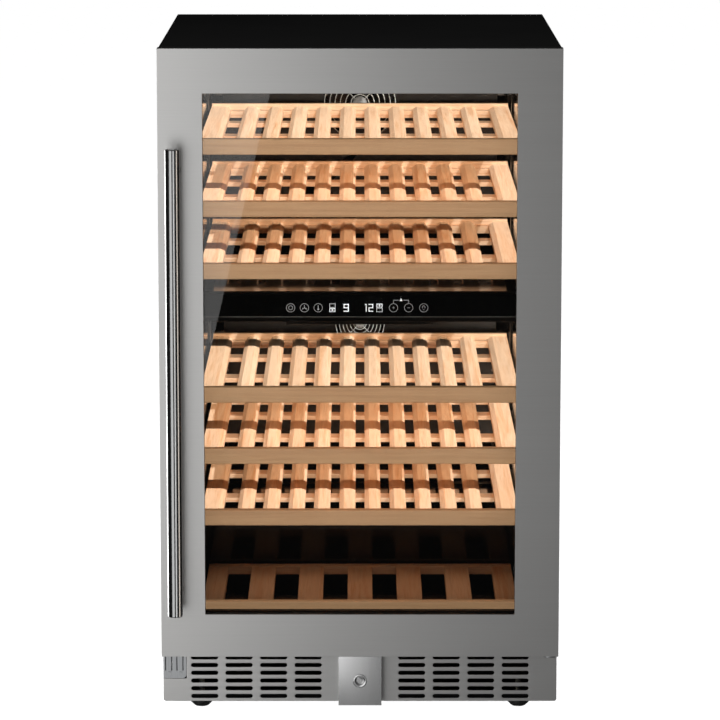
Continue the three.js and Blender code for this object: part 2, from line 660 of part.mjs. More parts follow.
function addDoor() {
  const { outer, inner, low, high, lipLow, lipHigh } = GASKET;
  const innerGlassFront = DOOR.steel - GLASS.sheet;
  const outerGlassBack = GLASS.front + GLASS.sheet;
  add(body, "door_frame", doorFrame(), STEEL);
  add(body, "door_inner_frame", doorInnerFrame(), BLACK_PLASTIC);
  add(body, "outer_glass", glassSheet(GLASS.front), CLEAR);
  add(body, "glass_spacer", glassSpacer(outerGlassBack + GAP, innerGlassFront - GAP), BLACK_PLASTIC);
  add(body, "inner_glass", glassSheet(innerGlassFront), CLEAR);
  const lips = rectangle(-inner, inner, lipLow, lipHigh);
  const seal = windowFrame(rectangle(-outer, outer, low, high), lips, DOOR.back + GAP, SHELL_FRONT - 0.4);
  add(body, "door_gasket", seal, RUBBER);
  const barDepth = -HANDLE_REACH + HANDLE.radius;
  add(body, "door_handle", handle(), POLISHED, [HANDLE.x, barDepth, HANDLE.bottom]);
  const upperPin = [UPPER_ARM[0] - 15, UPPER_ARM[0] + 1];
  const lowerPin = [LOWER_ARM[1] - 1, LOWER_ARM[1] + 14];
  const upperLeg = [HINGE.upperLeg, UPPER_ARM[1]];
  const lowerLeg = [HINGE.lowerLeg, LOWER_ARM[1]];
  const upper = hingePlate(UPPER_ARM, upperPin, upperLeg, GASKET.outer + 1.5);
  const lower = hingePlate(LOWER_ARM, lowerPin, lowerLeg, HALF - GAP - HINGE.width);
  add(body, "upper_hinge", upper, ZINC);
  add(body, "lower_hinge", lower, ZINC);
}

// ---- Shelves and their tracks ----
function slatOutline(centre) {
  const { half, flat, drop, height } = SLAT;
  return outline([
    [-half, -height], [half, -height], [half, -drop], [flat, 0], [-flat, 0], [-half, -drop],
  ].map(([x, z]) => [x + centre, z]));
}

function sideBoardOutline(side) {
  const { inner, chamfer } = SIDE_BOARD;
  const points = [
    [inner, -SLAT.height], [SHELF.half, -SLAT.height], [SHELF.half, 0], [inner + chamfer, 0],
    [inner, -SLAT.drop],
  ].map(([x, z]) => [side * x, z]);
  return outline(side > 0 ? points : points.reverse());
}

function evenPlaces(count, pitch) {
  return Array.from({ length: count }, (_, i) => (i - (count - 1) / 2) * pitch);
}

// One sliding shelf deck; z = 0 is its top and y = 0 the fascia's front.
function shelfDeck() {
  const front = SHELF.fascia + GAP;
  const back = SHELF.back - SHELF.front;
  const parts = evenPlaces(SLAT.count, SLAT.pitch).map((x) => (
    extrude(slatOutline(x), "y", front, back - REAR_RAIL.lip)
  ));
  for (const side of [-1, 1]) {
    parts.push(extrude(sideBoardOutline(side), "y", front, back - REAR_RAIL.lip));
  }
  const under = [-SLAT.height - CROSS.thickness, -SLAT.height + 0.01];
  for (const ends of CROSS_BOARDS) {
    const depths = ends.map((depth) => depth - SHELF.front);
    parts.push(block([-CROSS.half, CROSS.half], depths, under));
  }
  const { depth, lip, lipTop, hang } = REAR_RAIL;
  const width = [-SHELF.half, SHELF.half];
  const low = -SLAT.height;
  parts.push(block(width, [back - depth, back], [low, -SLAT.drop - 1]));
  parts.push(block(width, [back - lip - 0.01, back], [low, lipTop]));
  parts.push(block([-CROSS.half, CROSS.half], [back - depth, back], [low - hang, low + 0.01]));
  return join(parts);
}

function shelfFascia() {
  const { half, fascia, fasciaHeight } = SHELF;
  const edge = 1.2;
  const profile = outline([
    [0, -fasciaHeight + edge], [edge, -fasciaHeight], [fascia, -fasciaHeight], [fascia, 0],
    [edge, 0], [0, -edge],
  ]);
  return extrude(profile, "x", -half, half);
}

function bottomShelf() {
  const { height, back, slatHalf, pitch, count } = BOTTOM_SHELF;
  const depth = back - SHELF.front;
  const low = -height;
  const parts = evenPlaces(count, pitch).map((x) => (
    block([x - slatHalf, x + slatHalf], [SHELF.fascia - 1, depth - 1], [low, -0.6])
  ));
  for (const side of [-1, 1]) {
    const ends = [side * SIDE_BOARD.inner, side * SHELF.half].sort((a, b) => a - b);
    parts.push(block(ends, [SHELF.fascia - 1, depth - 1], [low, -0.6]));
  }
  parts.push(block([-SHELF.half, SHELF.half], [0, SHELF.fascia], [low, 0]));
  parts.push(block([-SHELF.half, SHELF.half], [depth - 20, depth], [low, 0]));
  return join(parts);
}

// Half of a moulded rack: two uprights on the wall and one ledge under each shelf's side board.
function sideRack(side, tops, bottom, top) {
  const wall = LINER.half - GAP;
  const { inner, front, back, sheet, flange, post, posts } = TRACK;
  const parts = posts.map((depth) => block([wall - sheet, wall], [depth, depth + post], [bottom, top]));
  for (const shelfTop of tops) {
    const high = shelfTop - SLAT.height - GAP;
    parts.push(block([inner, wall], [front, back], [high - sheet, high]));
    parts.push(block([wall - sheet, wall], [front, back], [high - flange, high]));
  }
  const rack = join(parts);
  return side > 0 ? rack : rack.rotateZ(Math.PI).translate(0, front + back, 0);
}

function addShelves() {
  const deck = shelfDeck();
  const fascia = shelfFascia();
  SHELF_TOPS.forEach((top, i) => {
    const shelf = new THREE.Group();
    shelf.position.set(0, SHELF.front, top);
    body.add(shelf);
    add(shelf, `shelf_${i + 1}_front`, fascia.clone(), BEECH);
    add(shelf, `shelf_${i + 1}_deck`, deck.clone(), BEECH);
  });
  add(body, "bottom_shelf", bottomShelf(), BEECH, [0, SHELF.front, BOTTOM_SHELF.top]);
  const racks = [
    ["upper_shelf_rack", SHELF_TOPS.slice(0, 3), UPPER.floor + 4, UPPER.ceiling - 40],
    ["lower_shelf_rack", SHELF_TOPS.slice(3), LOWER.stepTop + 4, LOWER.ceiling - 60],
  ];
  const wall = LINER.half - GAP;
  for (const [name, tops, bottom, top] of racks) {
    const tie = block([-wall, wall], TRACK.tie, [bottom, bottom + 8]);
    const sides = [1, -1].map((side) => sideRack(side, tops, bottom, top));
    add(body, name, join([...sides, tie]), BLACK_PLASTIC);
  }
}

addCabinet();
addAirCirculation();
addMachineCompartment();
addPlinth();
addDoor();
addShelves();

export default cooler;
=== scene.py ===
import math
import random

import bmesh
import bpy
from mathutils import Matrix, Vector


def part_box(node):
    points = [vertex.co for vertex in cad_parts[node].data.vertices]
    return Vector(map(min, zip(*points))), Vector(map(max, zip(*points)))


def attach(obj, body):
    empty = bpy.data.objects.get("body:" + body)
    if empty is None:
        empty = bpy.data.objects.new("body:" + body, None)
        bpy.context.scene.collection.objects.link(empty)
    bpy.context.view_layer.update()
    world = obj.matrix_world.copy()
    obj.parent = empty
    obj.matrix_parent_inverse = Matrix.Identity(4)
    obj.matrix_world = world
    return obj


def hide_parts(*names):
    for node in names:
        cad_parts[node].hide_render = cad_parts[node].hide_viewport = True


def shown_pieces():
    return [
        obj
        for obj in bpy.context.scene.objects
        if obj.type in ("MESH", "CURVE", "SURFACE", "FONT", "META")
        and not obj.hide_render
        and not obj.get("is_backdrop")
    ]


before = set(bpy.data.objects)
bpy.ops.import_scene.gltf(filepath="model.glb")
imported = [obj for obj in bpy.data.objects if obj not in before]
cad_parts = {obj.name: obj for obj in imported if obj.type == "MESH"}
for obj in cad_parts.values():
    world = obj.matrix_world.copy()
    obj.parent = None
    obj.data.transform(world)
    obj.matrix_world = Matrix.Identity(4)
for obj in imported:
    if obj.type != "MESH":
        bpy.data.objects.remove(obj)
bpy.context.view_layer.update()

RNG = random.Random(11)

WHITE = (1.0, 1.0, 1.0)

# ---- Driving values, in metres ----
DOOR_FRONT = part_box("door_frame")[0].y
ZONES = ("upper", "lower")
SHELF_COUNT = 6
SLAT = {"count": 10, "pitch": 0.0385, "half": 0.0123, "flat": 0.0056, "drop": 0.005, "height": 0.013}
SIDE_BOARD = {"inner": 0.207, "chamfer": 0.007}
CROSS = {"places": ((0.161, 0.197), (0.353, 0.387)), "half": 0.2245, "thickness": 0.007}
REAR_RAIL = {"depth": 0.020, "lip": 0.009, "rise": 0.004, "hang": 0.005, "step": 0.001}
BOTTOM = {"count": 5, "pitch": 0.0756, "half": 0.019, "rail": 0.02, "front": 0.016, "step": 0.0006}
SLOT = {"length": 0.0406, "height": 0.006, "pitch": 0.012, "top": 0.0868, "rows": 6}
SLOT_COLUMNS = (0.0782, 0.1303, 0.1826, 0.2346)
# How bright the surroundings are to mirror-like and to matte surfaces.
AMBIENT = {"glossy": 0.01, "diffuse": 0.05}
# How bright, and in what colour, the light is over the first, second and third shelf of a zone.
SHELF_GLOW = ((0.34, (1.0, 0.92, 0.84)), (0.22, (1.0, 0.62, 0.38)), (0.05, (1.0, 0.50, 0.28)))
BOTTOM_GLOW = (0.24, (1.0, 0.66, 0.45))


def placed(name, data):
    """A new object in the scene that holds a mesh, a curve, a light or a camera."""
    made = bpy.data.objects.new(name, data)
    bpy.context.scene.collection.objects.link(made)
    return made


def round_angles(count):
    return [2 * math.pi * k / count for k in range(count)]


def even_places(count, pitch):
    return [(i - (count - 1) / 2) * pitch for i in range(count)]


def tinted(color, factor, lift=0.0):
    return tuple(c * factor + lift for c in color)


# ---- Shader helpers ----
class Shader:
    """A node material under construction: a Principled shader and short calls for the nodes that feed it."""

    def __init__(self, name, **fixed):
        self.material = bpy.data.materials.new(name)
        self.material.use_nodes = True
        self.tree = self.material.node_tree
        self.surface = self.tree.nodes["Principled BSDF"]
        for socket, value in fixed.items():
            self.surface.inputs[socket.replace("_", " ")].default_value = value
        self.place = self.node("ShaderNodeTexCoord").outputs["Object"]

    def node(self, kind, inputs=None, **settings):
        made = self.tree.nodes.new(kind)
        for key, value in settings.items():
            setattr(made, key, value)
        for socket, value in (inputs or {}).items():
            self.feed(made.inputs[socket], value)
        return made

    def feed(self, socket, value):
        """Sets a socket to a number, a vector or a colour, or links it to another node's output."""
        if isinstance(value, bpy.types.NodeSocket):
            self.link(value, socket)
        else:
            socket.default_value = (*value, 1.0) if socket.type == "RGBA" else value

    def link(self, source, target):
        self.tree.links.new(source, target)

    def noise(self, scale, detail=4.0, roughness=0.55, distortion=0.0, offset=(0.0, 0.0, 0.0)):
        place = self.node("ShaderNodeMapping", {"Scale": scale, "Vector": self.place, "Location": offset})
        return self.node("ShaderNodeTexNoise", {
            "Scale": 1.0, "Detail": detail, "Roughness": roughness, "Distortion": distortion,
            "Vector": place.outputs["Vector"],
        }).outputs["Fac"]

    def ramp(self, source, stops):
        made = self.node("ShaderNodeValToRGB", {"Fac": source})
        elements = made.color_ramp.elements
        while len(elements) < len(stops):
            elements.new(0.5)
        for element, (position, color) in zip(elements, stops):
            element.position = position
            element.color = (*color, 1.0)
        return made.outputs["Color"]

    def mix(self, factor, first, second, blend):
        made = self.node("ShaderNodeMix", {"Factor": factor, "A": first, "B": second},
                         data_type="RGBA", blend_type=blend)
        return made.outputs["Result"]

    def color(self, source):
        self.link(source, self.surface.inputs["Base Color"])

    def roughness(self, source, low, high):
        made = self.node("ShaderNodeMapRange", {"To Min": low, "To Max": high, "Value": source})
        self.link(made.outputs["Result"], self.surface.inputs["Roughness"])

    def bump(self, source, depth, strength):
        made = self.node("ShaderNodeBump", {"Strength": strength, "Distance": depth, "Height": source})
        self.link(made.outputs["Normal"], self.surface.inputs["Normal"])


def brushed_metal(name, base, rough, along, streak):
    """Sheet metal with fine brush lines that run along one axis."""
    shader = Shader(name, Metallic=1.0)
    across, down = 900.0, 6.0
    scale = tuple(down if axis == along else across for axis in "xyz")
    lines = shader.noise(scale, detail=3.0)
    cloud = shader.noise((3.0, 3.0, 3.0), detail=2.0)
    grain = shader.ramp(lines, ((0.3, tinted(base, 1 - streak)), (0.7, tinted(base, 1 + streak))))
    shade = shader.ramp(cloud, ((0.3, (0.985, 0.985, 0.985)), (0.7, WHITE)))
    shader.color(shader.mix(1.0, grain, shade, "MULTIPLY"))
    shader.roughness(lines, rough - 0.03, rough + 0.04)
    shader.bump(lines, 0.00002, 0.12)
    return shader.material


def polished_metal(name, base, rough):
    """Bright metal with a few faint wipe marks."""
    shader = Shader(name, Metallic=1.0)
    marks = shader.noise((60.0, 60.0, 5.0), detail=5.0)
    shader.color(shader.ramp(marks, ((0.35, tinted(base, 0.93)), (0.65, base))))
    shader.roughness(marks, rough * 0.8, rough * 1.4)
    shader.bump(marks, 0.00002, 0.2)
    return shader.material


def powder_coat(name, base, rough):
    """Matte stoved powder coat with a fine orange-peel surface."""
    shader = Shader(name, IOR=1.5)
    peel = shader.noise((900.0, 900.0, 900.0), detail=2.0)
    dust = shader.noise((7.0, 7.0, 7.0), detail=5.0)
    shader.color(shader.ramp(dust, ((0.35, base), (0.75, tinted(base, 1.5, 0.001)))))
    shader.roughness(dust, rough - 0.06, rough + 0.08)
    shader.bump(peel, 0.00004, 0.5)
    return shader.material


def moulded_plastic(name, base, rough, grain=0.00003):
    """Moulded black plastic with a light spark-eroded texture."""
    shader = Shader(name, IOR=1.48)
    texture = shader.noise((1400.0, 1400.0, 1400.0), detail=2.0)
    flow = shader.noise((11.0, 11.0, 11.0), detail=3.0)
    shader.color(shader.ramp(flow, ((0.3, base), (0.8, tinted(base, 1.6, 0.001)))))
    shader.roughness(flow, rough - 0.05, rough + 0.08)
    shader.bump(texture, grain, 0.4)
    return shader.material


def beech(name, along, light, dark, fibre, tone_spread):
    """Oiled beech: growth bands, fine fibre and short flecks along the board, with a tone for each board."""
    shader = Shader(name, IOR=1.5)
    board = shader.node("ShaderNodeAttribute", attribute_name="board")
    shift = shader.node("ShaderNodeCombineXYZ")
    for socket, spread in zip(shift.inputs, (37.0, 11.0, 23.0)):
        moved = shader.node("ShaderNodeMath", {0: board.outputs["Fac"], 1: spread}, operation="MULTIPLY")
        shader.link(moved.outputs["Value"], socket)
    place = shift.outputs["Vector"]

    def scale(length, across):
        return tuple(length if axis == along else across for axis in "xyz")

    bands = shader.noise(scale(2.2, 75.0), detail=3.0, distortion=1.2, offset=place)
    fibres = shader.noise(scale(14.0, 620.0), detail=3.0, offset=place)
    flecks = shader.noise(scale(160.0, 900.0), detail=1.0, offset=place)
    base = shader.ramp(bands, ((0.32, dark), (0.5, light), (0.72, tinted(light, 0.9))))
    lines = shader.ramp(fibres, ((0.30, fibre), (0.52, WHITE)))
    spots = shader.ramp(flecks, ((0.22, (0.8, 0.7, 0.62)), (0.34, WHITE)))
    grain = shader.mix(1.0, base, lines, "MULTIPLY")
    fine = shader.mix(0.5, grain, spots, "MULTIPLY")
    cool = tuple(1.0 - tone_spread * c for c in (0.22, 0.30, 0.38))
    tone = shader.ramp(board.outputs["Fac"], ((0.0, cool), (1.0, WHITE)))
    shader.color(shader.mix(1.0, fine, tone, "MULTIPLY"))
    shader.roughness(fibres, 0.42, 0.58)
    shader.bump(fibres, 0.00006, 0.5)
    return shader.material


def window_glass(name, tint):
    """Flat clear glass: what is behind shows through, with a Fresnel mirror on top."""
    shader = Shader(name)
    shader.tree.nodes.remove(shader.surface)
    smear = shader.noise((4.0, 4.0, 9.0), detail=3.0)
    sheen = shader.ramp(smear, ((0.3, (0.9, 0.9, 0.9)), (0.7, WHITE)))
    clear = shader.node("ShaderNodeBsdfTransparent", {"Color": tint})
    mirror = shader.node("ShaderNodeBsdfGlossy", {"Roughness": 0.0, "Color": sheen})
    fresnel = shader.node("ShaderNodeFresnel", {"IOR": 1.5})
    blend = shader.node("ShaderNodeMixShader", {
        "Fac": fresnel.outputs["Fac"], 1: clear.outputs["BSDF"], 2: mirror.outputs["BSDF"],
    })
    shader.link(blend.outputs["Shader"], shader.tree.nodes["Material Output"].inputs["Surface"])
    return shader.material


def glowing(name, color, strength):
    """A lit cover or printed symbol, slightly uneven over its face."""
    shader = Shader(name, Roughness=0.4)
    even = shader.noise((40.0, 40.0, 40.0), detail=2.0)
    tint = shader.ramp(even, ((0.3, tinted(color, 0.85)), (0.7, color)))
    shader.color(tint)
    shader.link(tint, shader.surface.inputs["Emission Color"])
    shader.surface.inputs["Emission Strength"].default_value = strength
    return shader.material


def rigid_foam(name):
    shader = Shader(name, Roughness=0.9)
    cells = shader.noise((500.0, 500.0, 500.0), detail=4.0)
    shader.color(shader.ramp(cells, ((0.35, (0.52, 0.44, 0.26)), (0.65, (0.72, 0.65, 0.45)))))
    shader.bump(cells, 0.0004, 0.6)
    return shader.material


def soft_rubber(name, base, rough):
    shader = Shader(name, IOR=1.5)
    bloom = shader.noise((60.0, 60.0, 60.0), detail=5.0)
    shader.color(shader.ramp(bloom, ((0.3, base), (0.8, tinted(base, 1.8, 0.002)))))
    shader.roughness(bloom, rough - 0.08, rough + 0.1)
    shader.bump(bloom, 0.0001, 0.4)
    return shader.material


BLACK = (0.0042, 0.0040, 0.0038)
# Beech for the decks and rails, paler and whiter than the front boards' beech: painted highlight for the
# strong light on the decks.
LIT_BEECH = (0.88, 0.67, 0.49)
FINISHES = {
    "satin_steel": (brushed_metal, (0.565, 0.56, 0.55), 0.36, "x", 0.02),
    "handle_steel": (polished_metal, (0.62, 0.62, 0.62), 0.16),
    "polished_steel": (polished_metal, (0.62, 0.62, 0.62), 0.22),
    "zinc_steel": (brushed_metal, (0.46, 0.47, 0.48), 0.36, "z", 0.08),
    "black_shell": (powder_coat, BLACK, 0.5),
    "black_plastic": (moulded_plastic, BLACK, 0.4),
    "gloss_liner": (moulded_plastic, BLACK, 0.07, 0.000002),
    "gloss_panel": (moulded_plastic, (0.002, 0.002, 0.002), 0.1, 0.000002),
    # The fan guards' wires are black plastic given a light grey colour: painted light so that they show in
    # the dark cabinet.
    "wire": (moulded_plastic, (0.45, 0.45, 0.42), 0.35),
    # grey_plastic also colours the strip of painted highlight along the control panel's bottom edge.
    "grey_plastic": (moulded_plastic, (0.16, 0.155, 0.14), 0.4),
    "foam": (rigid_foam,),
    "rubber": (soft_rubber, (0.006, 0.006, 0.006), 0.6),
    "deck_wood": (beech, "y", LIT_BEECH, (0.78, 0.50, 0.31), (0.84, 0.74, 0.64), 0.5),
    "rail_wood": (beech, "x", LIT_BEECH, (0.78, 0.50, 0.32), (0.86, 0.76, 0.68), 0.5),
    # The front boards get a darker, more orange copy of the same beech: painted shade for the weaker light
    # that reaches them.
    "fascia_wood": (beech, "x", (0.66, 0.40, 0.215), (0.59, 0.345, 0.18), (0.93, 0.88, 0.83), 0.12),
    "aluminium": (brushed_metal, (0.6, 0.61, 0.62), 0.35, "z", 0.06),
    "lamp": (glowing, (1.0, 0.93, 0.82), 2.0),
    "symbol": (glowing, (0.9, 0.92, 0.95), 0.75),
    "dim_symbol": (glowing, (0.55, 0.56, 0.58), 0.25),
    "tinted_glass": (window_glass, (0.985, 0.985, 0.98)),
}
MATERIALS = {name: make(name, *values) for name, (make, *values) in FINISHES.items()}


# ---- Mesh helpers ----
class Pieces:
    """Closed shells gathered into one mesh, with a tone number for each board."""

    def __init__(self):
        self.points, self.faces, self.tones = [], [], []

    def shell(self, points, faces, tone=0.5):
        start = len(self.points)
        self.points += [tuple(p) for p in points]
        self.faces += [tuple(start + i for i in face) for face in faces]
        self.tones += [tone] * len(points)

    def loft(self, rings, tone=0.5, closed=False):
        """Joins equal rings of points one after the other, into a loop or with a cap at each end."""
        count = len(rings[0])
        spans = len(rings) if closed else len(rings) - 1
        faces = []
        for i in range(spans):
            a, b = i * count, ((i + 1) % len(rings)) * count
            for j in range(count):
                k = (j + 1) % count
                faces.append((a + j, a + k, b + k, b + j))
        if not closed:
            faces.append(tuple(reversed(range(count))))
            faces.append(tuple((len(rings) - 1) * count + j for j in range(count)))
        self.shell([p for ring in rings for p in ring], faces, tone)

    def prism(self, outline, axis, start, end, tone=0.5):
        """Extrudes an outline: (x, z) along y, (y, z) along x, (x, y) along z."""
        def place(u, v, w):
            return {"x": (w, u, v), "y": (u, w, v), "z": (u, v, w)}[axis]
        self.loft([[place(u, v, w) for u, v in outline] for w in (start, end)], tone)

    def box(self, low, high, tone=0.5):
        outline = [(low[0], low[2]), (high[0], low[2]), (high[0], high[2]), (low[0], high[2])]
        self.prism(outline, "y", low[1], high[1], tone)

    def lathe(self, profile, centre, axis, segments=48):
        """Turns a (radius, height) profile, from axis to axis, about a line through centre."""
        rings = []
        for radius, height in profile:
            ring = []
            for angle in round_angles(segments):
                u, v = max(radius, 1e-6) * math.cos(angle), max(radius, 1e-6) * math.sin(angle)
                ring.append(Vector({"z": (u, v, height), "y": (u, height, v)}[axis]) + Vector(centre))
            rings.append(ring)
        self.loft(rings)

    def ring(self, centre, radius, wire, segments=64, sides=10):
        """A round wire bent to an upright circle that faces the front."""
        side = Vector((0, 1, 0))
        rings = []
        for angle in round_angles(segments):
            out = Vector((math.cos(angle), 0, math.sin(angle)))
            rings.append([
                Vector(centre) + out * (radius + wire * math.cos(t)) + side * wire * math.sin(t)
                for t in round_angles(sides)
            ])
        self.loft(rings, closed=True)

    def rod(self, start, end, radius, sides=12):
        start, end = Vector(start), Vector(end)
        turn = (end - start).to_track_quat("Z", "Y").to_matrix()
        circle = [turn @ Vector((math.cos(t), math.sin(t), 0)) * radius for t in round_angles(sides)]
        self.loft([[start + c for c in circle], [end + c for c in circle]])

    def window(self, profile, half, low, high):
        """Runs a (outward, depth) profile round a rectangle in the front plane, with mitred corners."""
        corners = [(-half, low, -1, -1), (half, low, 1, -1), (half, high, 1, 1), (-half, high, -1, 1)]
        rings = [[(x + sx * u, y, z + sz * u) for u, y in profile] for x, z, sx, sz in corners]
        self.loft(rings, closed=True)

    def build(self, name, material, body, slot, **edges):
        mesh = bpy.data.meshes.new(name)
        mesh.from_pydata(self.points, [], self.faces)
        tones = mesh.attributes.new("board", "FLOAT", "POINT")
        tones.data.foreach_set("value", self.tones)
        outward(mesh)
        return dress(placed(name, mesh), material, body, slot, **edges)


def outward(mesh, weld=0.0):
    """Turns every face outward, once points closer together than weld are joined."""
    work = bmesh.new()
    work.from_mesh(mesh)
    if weld:
        bmesh.ops.remove_doubles(work, verts=work.verts, dist=weld)
    bmesh.ops.recalc_face_normals(work, faces=work.faces)
    work.to_mesh(mesh)
    work.free()


def dress(piece, material, body, slot, bevel=0.0, smooth=0.0, angle=35.0):
    """Gives a new piece its material, its edges (rounded, or smooth up to an angle) and its body; slot is
    not used.
    """
    piece.data.materials.clear()
    piece.data.materials.append(MATERIALS[material])
    if bevel:
        add_bevel(piece, bevel, angle)
    elif smooth:
        piece.data.shade_smooth()
        piece.data.set_sharp_from_angle(angle=math.radians(smooth))
    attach(piece, body)
    return piece


def add_bevel(piece, width, angle=35.0):
    piece.data.shade_smooth()
    edge = piece.modifiers.new("edges", "BEVEL")
    edge.width = width
    edge.segments = 2
    edge.limit_method = "ANGLE"
    edge.angle_limit = math.radians(angle)
    edge.harden_normals = True


def finish_node(node, material, bevel):
    """Gives a CAD node its material and, where the width isn't 0, small rounded edges."""
    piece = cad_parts[node]
    piece.data.materials.clear()
    piece.data.materials.append(MATERIALS[material])
    if "custom_normal" in piece.data.attributes:
        piece.data.attributes.remove(piece.data.attributes["custom_normal"])
    if bevel:
        weld = piece.modifiers.new("weld", "WELD")
        weld.merge_threshold = 1e-5
        add_bevel(piece, bevel)


# ---- Shelves ----
def slat_outline(centre, top):
    half, flat, drop, height = SLAT["half"], SLAT["flat"], SLAT["drop"], SLAT["height"]
    points = [(-half, -height), (half, -height), (half, -drop), (flat, 0), (-flat, 0), (-half, -drop)]
    return [(centre + x, top + z) for x, z in points]


def side_board_outline(side, half, top):
    inner, chamfer = SIDE_BOARD["inner"], SIDE_BOARD["chamfer"]
    points = [(inner, -SLAT["height"]), (half, -SLAT["height"]), (half, 0), (inner + chamfer, 0),
              (inner, -SLAT["drop"])]
    return [(side * x, top + z) for x, z in points]


def shelf_deck(index):
    node, body = f"shelf_{index}_deck", f"shelf_{index}"
    low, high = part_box(node)
    front_low, front_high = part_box(f"shelf_{index}_front")
    front, top = front_low.y, front_high.z
    slats_back, rail_front = high.y - REAR_RAIL["lip"], high.y - REAR_RAIL["depth"]
    slats = Pieces()
    for centre in even_places(SLAT["count"], SLAT["pitch"]):
        slats.prism(slat_outline(centre, top), "y", low.y, slats_back, RNG.random())
    for side in (-1, 1):
        slats.prism(side_board_outline(side, high.x, top), "y", low.y, slats_back, RNG.random())
    deck = slats.build(f"{node}_slats", "deck_wood", body, "beech", bevel=0.0004, angle=18.0)
    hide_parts(node)
    rails = Pieces()
    under = top - SLAT["height"]
    for near, far in CROSS["places"]:
        rails.box((-CROSS["half"], front + near, under - CROSS["thickness"]),
                  (CROSS["half"], front + far, under), RNG.random())
    rails.box((-high.x, rail_front, under),
              (high.x, slats_back, top - SLAT["drop"] - REAR_RAIL["step"]), RNG.random())
    rails.box((-CROSS["half"], rail_front, under - REAR_RAIL["hang"]),
              (CROSS["half"], high.y, under), RNG.random())
    rails.box((-high.x, slats_back, under), (high.x, high.y, top + REAR_RAIL["rise"]), RNG.random())
    rails.build(f"{node}_rails", "rail_wood", body, "beech", bevel=0.0006)


def shelf_fascia(index):
    node = f"shelf_{index}_front"
    low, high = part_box(node)
    edge, groove = 0.0012, 0.0004
    groove_top, groove_middle, groove_bottom = (high.z - share * edge for share in (2.2, 2.5, 2.8))
    outline = [
        (low.y, low.z + edge), (low.y + edge, low.z), (high.y, low.z), (high.y, high.z),
        (low.y + edge, high.z), (low.y, high.z - edge),
        (low.y, groove_top), (low.y + groove, groove_middle), (low.y, groove_bottom),
    ]
    board = Pieces()
    board.prism(outline, "x", low.x, high.x, RNG.random())
    piece = board.build(f"{node}_board", "fascia_wood", f"shelf_{index}", "beech", bevel=0.0004)
    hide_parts(node)


def bottom_shelf():
    low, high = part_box("bottom_shelf")
    fascia_back, rail_front = low.y + BOTTOM["front"], high.y - BOTTOM["rail"]
    half, inner = BOTTOM["half"], SIDE_BOARD["inner"]
    spans = [(x - half, x + half) for x in even_places(BOTTOM["count"], BOTTOM["pitch"])]
    spans += [(-high.x, -inner), (inner, high.x)]
    boards = Pieces()
    for left, right in spans:
        boards.box((left, fascia_back, low.z), (right, rail_front, high.z - BOTTOM["step"]), RNG.random())
    deck = boards.build("bottom_shelf_slats", "deck_wood", "cabinet", "beech", bevel=0.0006)
    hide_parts("bottom_shelf")
    rails = Pieces()
    rails.box((low.x, rail_front, low.z), (high.x, high.y, high.z), RNG.random())
    rails.build("bottom_shelf_rail", "rail_wood", "cabinet", "beech", bevel=0.0006)
    front = Pieces()
    front.box((low.x, low.y, low.z), (high.x, fascia_back, high.z), RNG.random())
    front.build("bottom_shelf_front", "fascia_wood", "cabinet", "beech", bevel=0.0008)


# ---- Fans ----
def fan_guard(zone, wire):
    """Six wire rings on four spokes, with a round hub plate in the middle."""
    node = f"{zone}_fan_guard"
    ring_count, ring_step, spoke_start, hub_share = 6, 0.147, 0.16, 0.2
    low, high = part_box(node)
    centre = (low + high) / 2
    radius = (high.x - low.x) / 2
    depth = high.y - wire
    guard = Pieces()
    for i in range(ring_count):
        share = 1 - i * ring_step
        guard.ring((centre.x, depth - wire * 1.6, centre.z), radius * share - wire, wire)
    start = Vector((centre.x, depth, centre.z))
    for angle in round_angles(4):
        out = Vector((math.cos(angle + math.pi / 4), 0, math.sin(angle + math.pi / 4)))
        guard.rod(start + out * radius * spoke_start, start + out * (radius - wire * 1.5), wire)
    piece = guard.build(f"{node}_wires", "wire", "cabinet", "black_plastic", smooth=40)
    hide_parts(node)
    hub = Pieces()
    size = radius * hub_share
    face, rim, back = -0.0022, -0.0008, 0.0012
    hub.lathe([(0, face), (size * 0.8, face), (size, rim), (size, back), (0, back)], start, "y")
    hub.build(f"{node}_hub", "grey_plastic", "cabinet", "black_plastic", smooth=40)


def fan_rotor(node, blades):
    """Swept, twisted blades round a hub that turns about y."""
    low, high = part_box(node)
    centre = (low + high) / 2
    radius = (high.z - low.z) / 2 * 0.97
    depth = high.y - low.y
    hub = radius * 0.24
    root = hub * 0.8
    rotor = Pieces()
    steps, half = 8, 0.0007
    samples = [-1.0, -0.5, 0.0, 0.5, 1.0]
    for i in range(blades):
        rings = []
        for step in range(steps + 1):
            share = step / steps
            reach = root + (radius - root) * share
            spread = 0.30 + 0.24 * share
            pitch = depth * (0.42 - 0.14 * share)
            ring = []
            for side in (-1, 1):
                for t in samples if side < 0 else reversed(samples):
                    angle = 2 * math.pi * i / blades + spread * t + 0.3 * share
                    lift = pitch * t * 0.8 + 0.001 * (1 - t * t) + side * half
                    ring.append(centre + Vector((reach * math.cos(angle), lift, reach * math.sin(angle))))
            rings.append(ring)
        rotor.loft(rings)
    back, front = depth / 2, -depth / 2
    rotor.lathe([(0, front), (hub * 0.85, front), (hub, front + 0.0015), (hub, back), (0, back)],
                tuple(centre), "y", 40)
    piece = rotor.build(f"{node}_blades", "black_plastic", node, "black_plastic", smooth=35)
    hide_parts(node)


